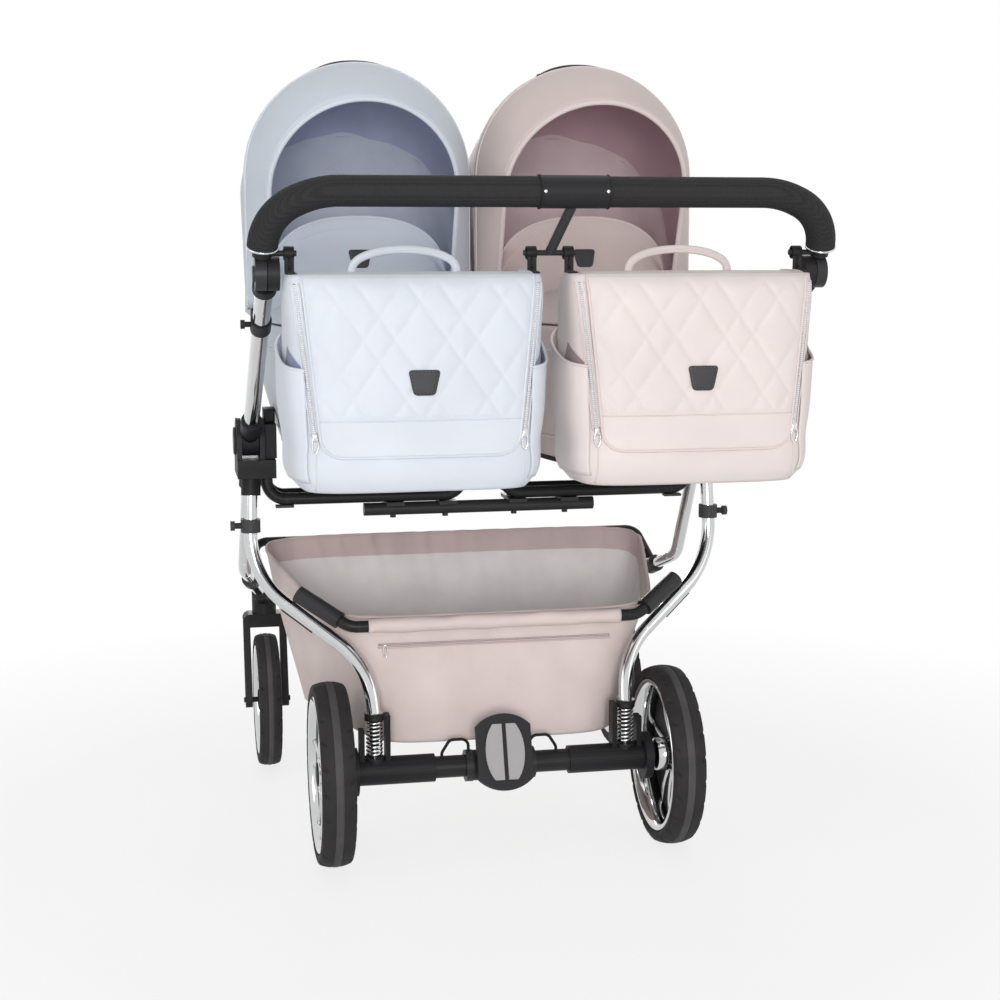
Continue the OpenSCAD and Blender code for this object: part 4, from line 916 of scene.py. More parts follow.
def patch_outline(width, height, count=72):
    """Rounded inverted trapezoid about its middle, as (x, z)."""
    corners = [(0, height / 2), (width / 2, height / 2), (width * 0.33, -height / 2), (0, -height / 2),
               (-width * 0.33, -height / 2), (-width / 2, height / 2), (0, height / 2)]
    return resample(rounded_path(corners, 6)[:-1], count, closed=True)


def make_patch(name, locate, width, height, body):
    """Plain leather patch with a stitched border. locate gives a place from (x, z, lift)."""
    outline = patch_outline(width, height)
    rows = [[locate(x * k, z * k, lift) for x, z in outline]
            for k, lift in ((1, 0.0), (1, 1.4), (0.96, 2.1), (0.7, 2.3), (0.35, 2.4), (0.02, 2.4))]
    settle(surface(name, rows, PATCH_LEATHER, closed=True, cap_last=True), body)
    border = resample([locate(x * 0.87, z * 0.87, 2.35) for x, z in outline], 96, closed=True)
    stitches = [tube(f"{name}_stitch_{k}", border[k:k + 3], 0.4, STITCH, 6) for k in range(0, 96, 4)]
    settle(join(name + "_thread", stitches), body)


def zip_x(z):
    """Distance of a bag's zip from its middle at a height."""
    return np.interp(z, (735, 950), (141, 165))


def bag_side_point(x_sign, z, out, slide=0.0):
    """Point on a bag's pusher-side corner where its zip runs."""
    share = bag_share(z)
    narrow = smooth_value(share, BAG_SHARES, BAG_FRONT)
    limit = BAG_HALF_X * smooth_value(share, BAG_SHARES, BAG_WIDE) * narrow * 0.985
    x = x_sign * min(zip_x(z) + slide, limit)
    return np.array((x, -bag_front(x, share) - out, z))


def make_bag_zips(label, side):
    """Zips down both edges of the flap, with pullers and the seams below them."""
    shift = bag_place(side)
    body = "bag_unit_" + label
    heights = np.linspace(ZIP_TOP_Z, ZIP_FOOT_Z, 60)
    for x_sign, tag in ENDS:
        path = [bag_side_point(x_sign, z, 1.0) + shift for z in heights]
        settle(band(f"bag_zip_{label}_{tag}", path, 4.2, 1.8, 0.8, (1, 0, 0), ZIP), body)
        for slide, edge in ((-ZIP_TAPE, "in"), (ZIP_TAPE, "out")):
            tape = [bag_side_point(x_sign, z, 0.9, slide) + shift for z in heights]
            piping(f"bag_zip_tape_{label}_{tag}_{edge}", tape, 1.2, label, body, 6)
        seam = [bag_side_point(x_sign, z, 0.3) + shift for z in np.linspace(ZIP_FOOT_Z, CORNER_SEAM_Z, 24)]
        piping(f"bag_corner_seam_{label}_{tag}", seam, 1.1, label, body, 6)
        foot = bag_side_point(x_sign, ZIP_FOOT_Z, 3.0) + shift
        slide_path = [foot + np.array((0, 0, z)) for z in (5, 0, -6)]
        slider = band(f"bag_zip_slider_{label}_{tag}", slide_path, 7.5, 4, 1.4, (1, 0, 0), SPRING_METAL)
        pull = join(f"bag_zip_pull_{label}_{tag}", [slider, pull_loop("pull_loop", foot, 4.2, 11, 1.2, 28)])
        settle(pull, body)


@functools.lru_cache(maxsize=None)
def pocket_ring(share, out, end):
    """Part of a bag's ring round one end, from the pusher's corner to the far corner."""
    turned = bag_ring(share, out, 720) * np.array((end, 1))
    part = turned[turned[:, 0] > 0.86 * turned[:, 0].max()]
    part = part[np.argsort(part[:, 1])]
    limit = BAG_HALF_Y * smooth_value(share, BAG_SHARES, BAG_DEEP)
    part = part[np.abs(part[:, 1]) < limit * 0.985]
    return resample(part * np.array((end, 1)), POCKET_COLUMNS)


def pocket_mouth(v):
    """Height share of a pocket's mouth, from the pusher's corner at v = 0 to the far corner at v = 1."""
    return 0.57 + 0.2 * v - 0.045 * math.sin(math.pi * v)


def pocket_bulge(v, t):
    """How far a filled pocket stands off the bag, at a share v round its end and t up to its mouth."""
    return 1.6 + 8.5 * math.sin(math.pi * v) ** 0.8 * ease(t * 1.6)


def pocket_rows(side, end, count, low, crest, bulge):
    """Cloth round one end of a bag, from a low share of its height up to the mouth, raised by crest."""
    rows = []
    for t in np.linspace(0, 1, count):
        row = []
        for k in range(POCKET_COLUMNS):
            v = k / (POCKET_COLUMNS - 1)
            share = low + (pocket_mouth(v) + crest * math.sin(math.pi * v) - low) * t
            x, y = pocket_ring(share, bulge(v, t), end)[k]
            row.append((x + side * BAG_X, y + BAG_Y, BAG_BOTTOM_Z + BAG_H * share))
        rows.append(row)
    return rows


def make_bag_pockets(label, side):
    """Open pocket on each end of a bag, with a drawn-down mouth, a hemmed edge and a dark sheet behind it
    that paints the shade inside the pocket.
    """
    body = "bag_unit_" + label
    for end, tag in ENDS:
        rows = pocket_rows(side, end, 25, 0.05, 0, pocket_bulge)
        pocket = surface(f"bag_pocket_{label}_{tag}", rows, CLOTH[label]["bag"], flip=end > 0)
        settle_cloth(pocket, body)
        thicken(pocket, 1.6, 0.0)
        piping(f"bag_pocket_hem_{label}_{tag}", resample(rows[-1], 60), 2.3, label, body)
        # dark sheet from below the mouth to a little above it: painted shade inside the pocket
        inner = pocket_rows(side, end, 12, 0.4, 0.09, lambda v, t: POCKET_SNUG)
        back = surface(f"bag_pocket_lining_{label}_{tag}", inner, CLOTH[label]["pocket"], flip=end > 0)
        settle_cloth(back, body)


def make_bag_straps(label, side):
    """Carry handle and the webbing straps that hang a bag on its pins."""
    body = "bag_unit_" + label
    middle = side * BAG_X - 12
    arch = [(middle - CARRY_HALF * math.cos(t), BAG_Y, BAG_TOP_Z + 2 + CARRY_RISE * math.sin(t) ** 0.8)
            for t in np.linspace(0, math.pi, 48)]
    handle = tube("bag_carry_handle_" + label, arch, CARRY_R, CLOTH[label]["bag"], 16)
    settle_cloth(handle, body)
    piping("bag_carry_piping_" + label, [(x, y - 5.4, z) for x, y, z in arch], 1.3, label, body)
    for eye_x in EYE_X:
        x = side * eye_x
        tail = f"{label}_{round(x)}"
        loop = [(x, HANG_Y + STRAP_EYE_R * math.cos(t), HANG_Z + STRAP_EYE_R * math.sin(t))
                for t in np.linspace(-0.42 * math.pi, 1.42 * math.pi, 40)]
        drop = [(x, HANG_Y - 6, HANG_Z - 5), (x, HANG_Y - 6.5, HANG_Z - 14), (x, HANG_Y - 6, BAG_TOP_Z + 1)]
        tab = [(x, HANG_Y - 6, BAG_TOP_Z + 2), (x, HANG_Y - 14, BAG_TOP_Z + 2.6),
               (x, HANG_Y - 30, BAG_TOP_Z + 1.6)]
        clip = [(x, HANG_Y - 6.3 + 5.2 * math.cos(t), HANG_Z - 14 + 7.5 * math.sin(t))
                for t in full_circle(30)]
        pieces = (
            band("bag_strap_eye_" + tail, loop, STRAP_W + 1, 2.6, 1.0, (1, 0, 0), PLASTIC),
            band("bag_strap_drop_" + tail, resample(drop, 16), STRAP_W, 3.4, 1.2, (1, 0, 0), WEBBING),
            band("bag_strap_tab_" + tail, resample(tab, 12), STRAP_W, 2.4, 1.0, (1, 0, 0), WEBBING),
            tube("bag_strap_ring_" + tail, clip, 1.8, PLASTIC, closed=True),
        )
        for piece in pieces:
            settle(piece, body)
    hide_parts("bag_straps_" + label)


def make_bags():
    for label, side in SIDES:
        for make in (make_bag_body, make_bag_flap, make_bag_zips, make_bag_pockets, make_bag_straps):
            make(label, side)

        def on_flap(x, z, lift, side=side):
            height = BAG_PATCH_Z + z
            return (side * BAG_X + x + 3, BAG_Y - bag_front(x, bag_share(height)) - 6.6 - lift, height)

        make_patch("bag_patch_" + label, on_flap, 44, 34, "bag_unit_" + label)


# Cots


def cot_outline(share, inset, count):
    """Evenly spaced ring of a cot at a share of its height."""
    draw = COT_DRAW * (1 - share) ** COT_CURVE
    half_x = COT_HALF_X - draw - inset
    half_y = COT_HALF_Y - draw - inset
    turns = full_circle(1440)
    x = half_x * signed_power(np.cos(turns), 2 / COT_ROUND)
    y = half_y * signed_power(np.sin(turns), 2 / COT_ROUND)
    return resample(np.column_stack([x, y]), count, closed=True)


def cot_rows(shares, inset, count, floor_lift, shift):
    """Rows of a cot's wall, on a closed floor."""
    floor = cot_outline(shares[0], inset, count)
    floor_z = COT_Z + COT_H * shares[0] + floor_lift
    rows = [level(floor * scale, floor_z, shift) for scale in (0.5, 0.9)]
    return rows + [level(cot_outline(share, inset, count), COT_Z + COT_H * share, shift) for share in shares]


def make_cot_tub(label, side):
    """Padded tub: outer cover, rim roll and lining as one shell, on a moulded base."""
    count = 128
    body = "cot_unit_" + label
    shift = (side * COT_X, COT_Y)
    outer_shares = (0.045, 0.06, 0.1, 0.16, 0.25, 0.35, 0.46, 0.57, 0.68, 0.78, 0.86, 0.93, COT_ROLL)
    inner_shares = (0.125, 0.16, 0.25, 0.4, 0.6, 0.8, 0.93, COT_ROLL)
    outer = cot_rows(outer_shares, 0, count, 0, shift)
    inner = cot_rows(inner_shares, COT_WALL, count, 1, shift)
    roll = []
    for turn in np.linspace(0, math.pi, 9)[1:-1]:
        ring = cot_outline(COT_ROLL + 0.03 * math.sin(turn), COT_WALL / 2 * (1 - math.cos(turn)), count)
        roll.append(level(ring, COT_Z + COT_H * (COT_ROLL + 0.032 * math.sin(turn)), shift))
    rows = outer + roll + inner[::-1]
    tub = surface("cot_tub_" + label, rows, CLOTH[label]["hood"], closed=True, cap_first=True, cap_last=True)
    first_inner = (len(outer) + len(roll)) * count
    second_material(tub, CLOTH[label]["lining"], lambda face: min(face.vertices) >= first_inner)
    settle_cloth(tub, body)
    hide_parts("cot_" + label)
    for share, tag in ((0.83, "upper"), (0.2, "lower")):
        line = level(cot_outline(share, -0.4, 160), COT_Z + COT_H * share, shift)
        piping(f"cot_piping_{tag}_{label}", line, 2.2, label, body, closed=True)
    foot = cot_outline(outer_shares[0], 0, count)
    base_rows = [level(foot * scale, COT_Z + z, shift)
                 for scale, z in ((0.05, 0), (0.6, 0), (0.955, 0), (0.985, 3), (0.995, 10), (0.97, 13))]
    base = surface("cot_base_" + label, base_rows, PLASTIC, closed=True, cap_first=True)
    settle(base, body)


def make_cot_fittings(label, side):
    """Hood pivots at the rim: a plate on the cot and a hub that turns with the hood."""
    plate = [(0.3, 0.1), (0.3, 16), (1.0, 17), (2.2, 17), (2.9, 16), (2.9, 0.1)]
    knob = [(3.3, 0.1), (3.3, 15.5), (4.2, 16.8), (5.4, 16.8), (6.4, 14), (6.9, 8), (6.9, 0.1)]
    for s, tag in ENDS:
        tail = f"{label}_{tag}"
        wall_x = side * COT_X + s * COT_HALF_X
        centre = (wall_x, PIVOT_Y, PIVOT_Z)
        disc = revolve_side("hood_pivot_plate_" + tail, plate, centre, s, PLASTIC, 48)
        drop = [(wall_x + s * 1.6, PIVOT_Y, z) for z in np.linspace(866, 831, 8)]
        arm = band("hood_pivot_arm_" + tail, drop, 33, 2.5, 1.0, (0, 1, 0), PLASTIC)
        settle(join("hood_pivot_" + tail, [disc, arm]), "cot_unit_" + label)
        hub = revolve_side("hood_hub_" + tail, knob, centre, s, GREY_PLASTIC, 48)
        settle(hub, "hood_" + label)


def make_cot_arms(label, side):
    """Arms from a cot's sides to its two sockets, with the pins that go down into them."""
    way = np.array((0, math.sin(LIFT_LEAN), math.cos(LIFT_LEAN)))
    arms = (
        (SOCKET_OUT_X, COT_X + ARM_WALL, SOCKET_OUT_X + SOCKET_W, "out"),
        (SOCKET_IN_X, COT_X - ARM_WALL, SOCKET_IN_X, "in"),
    )
    for socket_x, wall_x, far_x, tag in arms:
        name = f"cot_arm_{label}_{tag}"
        path = [(side * x, ARM_Y, ARM_Z + ARM_H / 2) for x in np.linspace(wall_x, far_x, 6)]
        arm = band(name, path, ARM_W, ARM_H, 5, (0, 1, 0), PLASTIC)
        mouth = np.array((side * (socket_x + SOCKET_W / 2), ARM_Y, ARM_Z)) + way * 3
        pin = tube("arm_pin", [mouth - way * t for t in np.linspace(28, 0, 6)], 4.5, PIN_METAL, 20)
        settle(join(name, [arm, pin]), "cot_unit_" + label)


def make_mattress(label, side, points, faces):
    """Quilted foam mattress."""
    pad = mesh_object("mattress_pad_" + label, points + np.array((side * COT_X, 0, 0)), faces, MATTRESS_CLOTH)
    smooth = pad.modifiers.new("smooth", "SUBSURF")
    smooth.levels = 1
    smooth.render_levels = 1
    settle(pad, "cot_unit_" + label)
    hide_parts("mattress_" + label)


def mattress_rows():
    """Crowned pad with drawn-in sides, a little smaller than the mattress it swells to."""
    half = cot_outline(0.12, COT_WALL + 9, 96)
    levels = ((0, 0.1), (0, 0.6), (0, 0.93), (0.08, 0.975), (0.3, 0.985), (0.5, 0.965), (0.66, 0.985),
              (0.8, 0.985), (0.88, 0.965), (0.93, 0.9), (0.965, 0.7), (1, 0.4), (1, 0.06))
    rows = []
    for rise, scale in levels:
        rows.append(level(half * scale, MATTRESS_Z + 3 + (MATTRESS_H - 9) * rise, (0, COT_Y)))
    return rows


def world_points(mesh):
    """Points of a mesh in millimetres off the rear axle."""
    flat = np.empty(len(mesh.vertices) * 3)
    mesh.vertices.foreach_get("co", flat)
    return (flat.reshape(-1, 3) - np.array((0, AXLE_Y, 0))) * 1000


def swollen_pad():
    """Mattress blown up by a short cloth simulation, with sewn channels across its top: points and faces."""
    pad = surface("pad_start", mattress_rows(), MATTRESS_CLOTH, closed=True, cap_first=True, cap_last=True)
    remesh = pad.modifiers.new("remesh", "REMESH")
    remesh.mode = "VOXEL"
    remesh.voxel_size = PAD_VOXEL / 1000
    bpy.context.view_layer.objects.active = pad
    bpy.ops.object.modifier_apply(modifier="remesh")
    points = world_points(pad.data)
    faces = [tuple(face.vertices) for face in pad.data.polygons]
    cloth = pad.modifiers.new("cloth", "CLOTH")
    cloth.settings.use_pressure = True
    cloth.settings.uniform_pressure_force = PAD_PRESSURE
    cloth.settings.effector_weights.gravity = 0
    for step in range(1, PAD_FRAMES + 1):
        bpy.context.scene.frame_set(step)
    shaped = pad.evaluated_get(bpy.context.evaluated_depsgraph_get())
    move = world_points(shaped.data) - points
    length = np.linalg.norm(move, axis=1)
    points = points + move * np.minimum(1, PAD_SWELL / np.maximum(length, 1e-6))[:, None]
    bpy.context.scene.frame_set(1)
    mesh = pad.data
    bpy.data.objects.remove(pad)
    bpy.data.meshes.remove(mesh)
    points[:, 2] = np.clip(points[:, 2], MATTRESS_Z + 0.5, MATTRESS_Z + MATTRESS_H + 2)
    top = ease((points[:, 2] - MATTRESS_Z - MATTRESS_H * 0.7) / 10)
    gap = np.abs((points[:, 1] - COT_Y + PAD_CHANNEL / 2) % PAD_CHANNEL - PAD_CHANNEL / 2)
    points[:, 2] -= CHANNEL_DEPTH * np.exp(-((gap / CHANNEL_HALF) ** 2)) * top
    return points, faces


def apron_controls():
    """Rows of the apron from its foot to the top of its flap: edge, middle and half width."""
    rows = []
    for k in range(9):
        y = APRON_START_Y + (APRON_BACK_Y - APRON_START_Y) * (k / 8) ** 1.5
        rise = min(1, (y - APRON_START_Y) / 120)
        share = min(1, abs(y - COT_Y) / (COT_HALF_Y - 4))
        half = max(60, (COT_HALF_X - 4) * max(0, 1 - share ** COT_ROUND) ** (1 / COT_ROUND))
        rows.append((y, APRON_LOW + 3, y, APRON_LOW + 3 + APRON_RISE * rise, half))
    low = APRON_LOW + 2
    rows.append((FLAP_BASE_Y - 3, low + 8, FLAP_BASE_Y - 5, low + APRON_RISE + 14, FLAP_HALF))
    rows.append((FLAP_BASE_Y + 11, low + 22, FLAP_BASE_Y + 11, low + FLAP_H * 0.55, FLAP_HALF))
    rows.append((FLAP_TOP_Y - 3, low + 40, FLAP_TOP_Y - 7, low + FLAP_H * 0.8, FLAP_HALF))
    rows.append((FLAP_TOP_Y + 5, low + 62, FLAP_TOP_Y - 3, low + FLAP_H, FLAP_HALF))
    return np.array(rows)


APRON_ROWS = apron_controls()
APRON_MARKS = np.arange(len(APRON_ROWS), dtype=float)


def apron_point(u, v):
    """Point of the apron: u from -1 to 1 across, v along its rows."""
    edge_y, edge_z, mid_y, mid_z, half = (smooth_value(v, APRON_MARKS, APRON_ROWS[:, k]) for k in range(5))
    dome = 1 - abs(u) ** 2.2
    flap = max(0.0, 1 - abs(u) ** 2.5) ** 0.45
    w = dome + (flap - dome) * ease(v - 8)
    gather = 1.6 * math.sin(v * 5.1 + 9 * u) * ease((abs(u) - 0.72) / 0.28) * ease((v - 8) / 2)
    return np.array((half * u, edge_y + (mid_y - edge_y) * w + gather, edge_z + (mid_z - edge_z) * w))


def make_apron(label, side):
    """Foot cover that rises into the arched wind flap, with a seam, a piped edge and a patch."""
    body = "cot_unit_" + label
    shift = np.array((side * COT_X, 0, 0))
    proud = shift + np.array((0, -1.9, 0))
    across = np.sin(np.linspace(-math.pi / 2, math.pi / 2, 81))
    along = np.linspace(0, len(APRON_ROWS) - 1, 90)
    rows = [[apron_point(u, v) + shift for u in across] for v in along]
    apron = settle_cloth(surface("apron_cover_" + label, rows, CLOTH[label]["hood"]), body)
    thicken(apron, 3.4, 0.0)
    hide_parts("apron_" + label)
    piping("apron_edge_" + label, resample(rows[-1], 90), 2.6, label, body)
    seam = [apron_point(u, 11.42 - 0.5 * abs(u) ** 3) + proud for u in np.sin(np.linspace(-1.4, 1.4, 80))]
    piping("apron_seam_" + label, seam, 0.8, label, body, 6)
    marks = np.linspace(9, 12, 40)
    heights = [apron_point(0, mark)[2] for mark in marks]

    def on_apron(x, z, lift):
        v = np.interp(APRON_PATCH_Z + z, heights, marks)
        return apron_point(x / FLAP_HALF, v) + proud + np.array((0, -lift, 0.4 * lift))

    make_patch("apron_patch_" + label, on_apron, 40, 30, body)


# Hoods


def arch_line(half, r, count=61):
    """Arch of a hood from its right pivot over the top to its left pivot, as (x, radius)."""
    points = [(half, HOOD_START + (r - half - HOOD_START) * t) for t in np.linspace(0, 1, 40)]
    points += [(half * math.cos(t), r - half + half * math.sin(t)) for t in np.linspace(0, math.pi, 120)]
    points += [(-half, HOOD_START + (r - half - HOOD_START) * t) for t in np.linspace(1, 0, 40)]
    return resample(points, count)


def hood_arch(angle, inset):
    """Arch of the hood's skin at an angle up from the head end of the rim."""
    swell = ease((angle - 38) / 14)
    sag = 0.0
    for low, high in zip(HOOD_RIBS, HOOD_RIBS[1:]):
        if low < angle < high:
            sag = HOOD_SAG * math.sin(math.pi * (angle - low) / (high - low)) ** 2
    half = HOOD_HALF - HOOD_NEST * (1 - swell) - inset - 0.3 * sag
    r = HOOD_R - HOOD_NEST * (1 - swell) - inset - sag
    full = arch_line(half, r)
    if angle <= BOW_ANGLE:
        return full
    t = (angle - BOW_ANGLE) / (VISOR_ANGLE - BOW_ANGLE)
    drawn = t ** 1.5
    return full * (1 - drawn) + arch_line(HOOD_HALF - VISOR_DRAW - inset, VISOR_R - inset) * drawn


def hood_point(x, radius, angle, side):
    turn = math.radians(angle)
    return np.array((side * COT_X + x, PIVOT_Y + radius * math.cos(turn), PIVOT_Z + radius * math.sin(turn)))


def crown_radius(x):
    """Distance of the hood's rounded top from the pivot line at x."""
    return HOOD_R - HOOD_HALF + math.sqrt(HOOD_HALF ** 2 - x ** 2)


def lining_fold(u, angle):
    """Soft gathers of the lining, deepest at its rear seam."""
    folds = 1.6 + math.sin(2 * math.pi * 7.3 * u + 0.6) + 0.6 * math.sin(2 * math.pi * 13.1 * u + 1.9)
    if angle >= LINING_SEAM:
        depth = LINING_FOLD * math.exp(-(angle - LINING_SEAM) / 34) * ease((VISOR_ANGLE - angle) / 14)
    else:
        depth = LINING_FOLD * math.exp(-(LINING_SEAM - angle) / 16)
    crown = ease((0.5 - abs(u - 0.5)) / 0.16)
    return folds * depth * crown


def bend_with_hood(obj):
    """Bakes the placement of a hood cloth into its mesh, which runs from the cot at the head end to the
    hood's bow at its top.
    """
    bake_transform(obj)


def hood_cord(name, label, side, angle, inset, drop, radius, cloth="piping", count=130, sides=6):
    """Piping or seam along one arch of the hood."""
    line = [hood_point(x, r - drop, angle, side) for x, r in hood_arch(angle, inset)]
    bend_with_hood(tube(f"{name}_{label}", resample(line, count), radius, CLOTH[label][cloth], sides))


def make_hood(label, side):
    """One sheet from the head end over the bow to the visor, its lining, piping and carry strip."""
    angles = np.concatenate([np.linspace(0, BOW_ANGLE, 40), np.linspace(BOW_ANGLE, VISOR_ANGLE, 14)[1:]])
    rows = [[hood_point(x, r, a, side) for x, r in hood_arch(a, 0)] for a in angles]
    cover = surface("hood_cover_" + label, rows, CLOTH[label]["hood"])
    thicken(cover, 1.6, -1.0)
    bend_with_hood(cover)
    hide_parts("hood_front_" + label, "hood_rear_" + label)

    inner = []
    for a in angles:
        line = hood_arch(a, LINING_INSET)
        row = []
        for k, (x, r) in enumerate(line):
            fold = lining_fold(k / (len(line) - 1), a)
            row.append(hood_point(x * (1 - fold / 700), r - 2 - fold, a, side))
        inner.append(row)
    lining = surface("hood_lining_" + label, inner, CLOTH[label]["lining"])
    columns = len(inner[0]) - 1
    second_material(lining, CLOTH[label]["panel"], lambda face: angles[face.index // columns] < LINING_SEAM)
    bend_with_hood(lining)

    hood_cord("hood_visor_piping", label, side, VISOR_ANGLE, 2, 1.5, 4.2, count=140, sides=10)
    for angle, radius, tag in ((BOW_ANGLE + 2.5, 1.6, "bow"), (BOW_ANGLE - 1.5, 1.2, "bow_back"),
                               (HOOD_RIBS[2], 1.4, "middle"), (HOOD_RIBS[1], 1.4, "rear")):
        hood_cord("hood_seam_" + tag, label, side, angle, -0.2, 0, radius)
    hood_cord("hood_lining_seam", label, side, LINING_SEAM, LINING_INSET, 3.2, 1.6, "lining")

    strip = []
    for t in np.linspace(-1, 1, 41):
        lift = 2.2 + 5.5 * (1 - t ** 4)
        x = STRIP_HALF * t
        strip.append(hood_point(x, crown_radius(x) + lift, STRIP_ANGLE, side))
    handle = band("hood_carry_strip_" + label, strip, 20, 3.2, 1.4, (0, 1, 0), PATCH_LEATHER)
    settle(handle, "hood_" + label)
    for s, tag in ENDS:
        base = hood_point(s * RIVET_X, crown_radius(RIVET_X) + 1.2, STRIP_ANGLE, side)
        disc = [base + np.array((RIVET_R * math.cos(t), RIVET_R * math.sin(t), 4.4 - s * 2.6 * math.cos(t)))
                for t in full_circle(20)]
        rivet = tube(f"hood_strip_rivet_{label}_{tag}", disc, 1.0, PIN_METAL, 6, closed=True)
        settle(rivet, "hood_" + label)


# Basket


def basket_edge(levels, t):
    """Rear or front edge of the basket as half width, y and z at a share of its height."""
    levels = np.array(levels, float)
    return np.array([smooth_value(t, (0, 0.5, 1), levels[:, k]) for k in range(3)])


def basket_ring(t, inset, count):
    """Evenly spaced ring of the basket from its floor, t = 0, to its rim, t = 1."""
    rear = basket_edge(BASKET_REAR, t) + np.array((-inset, inset, 0))
    front = basket_edge(BASKET_FRONT, t) + np.array((-inset, -inset, 0))
    turns = full_circle(2000)
    share = (1 + signed_power(np.sin(turns), 2 / BASKET_ROUND)) / 2
    edge = rear[None, :] * (1 - share[:, None]) + front[None, :] * share[:, None]
    x = edge[:, 0] * signed_power(np.cos(turns), 2 / BASKET_ROUND)
    return resample(np.column_stack([x, edge[:, 1], edge[:, 2]]), count, closed=True)


def basket_wrinkle(k, count, t):
    """Folds of the basket's cloth, in millimetres towards its inside."""
    u = k / count
    fore = ease((math.sin(2 * math.pi * u) - 0.1) / 0.6)
    gathers = math.sin(2 * math.pi * 38 * u) + 0.6 * math.sin(2 * math.pi * 61 * u + 1.1)
    slack = math.sin(2 * math.pi * 5 * u + 4 * t) * math.sin(math.pi * t)
    return 2.4 * fore * t ** 3 * gathers + 1.5 * slack


def basket_sheet(name, inset, material, flip):
    count = BASKET_COLUMNS
    rows = []
    floor = basket_ring(0, inset, count)
    centre = floor.mean(axis=0)
    for scale in (0.02, 0.4, 0.75, 0.93):
        ring = centre + (floor - centre) * scale
        ring[:, 2] = BASKET_FLOOR_Z + inset - 2 * (1 - scale)
        rows.append(ring)
    for t in np.concatenate([np.linspace(0, 0.1, 5), np.linspace(0.14, 0.94, 18), (0.97, 1.0)]):
        ring = basket_ring(t, inset, count)
        middle = ring.mean(axis=0)
        inward = middle - ring
        inward[:, 2] = 0
        inward /= np.linalg.norm(inward, axis=1)[:, None]
        fold = np.array([max(0.0, basket_wrinkle(k, count, t) + 1.2) for k in range(count)])
        rows.append(ring + inward * fold[:, None])
    return surface(name, rows, material, closed=True, flip=flip, cap_first=True), rows[-1]


def make_basket():
    """Cloth basket: outer cloth, grey lining, rolled rear edge, gathered front hem and a rear zip."""
    outer, rim = basket_sheet("basket_cover", 0, BASKET_OUT, False)
    settle(outer, "chassis")
    lining, lining_rim = basket_sheet("basket_lining", 2.6, BASKET_IN, True)

    def in_hem(face):
        return face.index // BASKET_COLUMNS >= HEM_ROW and len(face.vertices) == 4

    second_material(lining, BASKET_HEM, in_hem)
    settle(lining, "chassis")
    hem_path = resample((rim + lining_rim) / 2, BASKET_COLUMNS, closed=True)
    settle(tube("basket_hem", hem_path, 3.0, BASKET_HEM, closed=True), "chassis")
    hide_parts("basket")

    roll = []
    for x in np.linspace(-ROLL_HALF, ROLL_HALF, 60):
        z = REAR_BAR_Z + 0.5 * math.sin(x * 0.09)
        ring = []
        for turn in np.linspace(-0.35 * math.pi, 1.5 * math.pi, 30):
            r = REAR_BAR_R + 1.9 + 0.5 * math.sin(x * 0.05 + 2 * turn)
            ring.append((x, REAR_BAR_Y + r * math.cos(turn), z + r * math.sin(turn)))
        roll.append(ring)
    sleeve = surface("basket_rear_roll", roll, BASKET_OUT, flip=True)
    settle(sleeve, "chassis")
    thicken(sleeve, 1.2, 1.0)

    _, zip_y, zip_z = basket_edge(BASKET_REAR, BASKET_ZIP)
    rear = [(x, zip_y - 1.6, zip_z) for x in np.linspace(-BASKET_ZIP_HALF, BASKET_ZIP_HALF, 60)]
    settle(band("basket_zip", rear, 3, 1.6, 0.7, (0, 0, 1), ZIP_LONG), "chassis")
    lower = [(x, y - 0.2, z - 5) for x, y, z in rear]
    settle(tube("basket_zip_fold", lower, 1.5, BASKET_HEM, 6), "chassis")
    foot = np.array(rear[0]) + np.array((12, -2.5, 0))
    settle(pull_loop("basket_zip_pull", foot, 3.4, 10, 1, 24), "chassis")


# Handle and frame trim


def ring_of(name, centre, way, radius, thickness, material):
    way = np.asarray(way, float) / np.linalg.norm(way)
    first = np.cross(way, (1.0, 0.2, 0.1))
    first /= np.linalg.norm(first)
    second = np.cross(way, first)
    path = [np.asarray(centre) + first * radius * math.cos(t) + second * radius * math.sin(t)
            for t in full_circle(64)]
    return tube(name, path, thickness, material, 10, closed=True)


def unit(vector):
    return vector / np.linalg.norm(vector)


def make_side_trim(label, side):
    """Bright ring at a grip's end, strip under a rear leg and lever disc on a hinge."""
    flip = np.array((side, 1, 1))
    way = unit(ELBOW_POINT - JOINT_POINT)
    centre = (JOINT_POINT + way * GRIP_RING_AT) * flip
    ring = ring_of("grip_ring_" + label, centre, way * flip, GRIP_R - 0.6, 1.7, CHROME)
    settle(ring, "handle")
    leg = REAR_ANKLE - REAR_KNEE
    run = unit(leg)
    down = unit(np.array((0, 0, -1)) - run * np.dot(run, (0, 0, -1)))
    path = [(REAR_KNEE + leg * t + down * (LEG_R + 1.6)) * flip for t in np.linspace(0.3, 0.56, 12)]
    level_side = run[[1, 0, 2]] * np.array((1, -1, 0))
    strip = band("leg_strip_" + label, path, 7, 3, 1.2, level_side, PLASTIC)
    settle(strip, "chassis")
    lever = [(0, 0.1), (0, 21), (1.2, 23), (3.4, 23), (4.6, 21.5), (4.9, 13), (3.6, 12), (3.6, 0.1)]
    disc = revolve_side("hinge_lever_" + label, lever, LEVER_POINT * flip, side, GREY_PLASTIC, 64)
    settle(disc, "chassis")


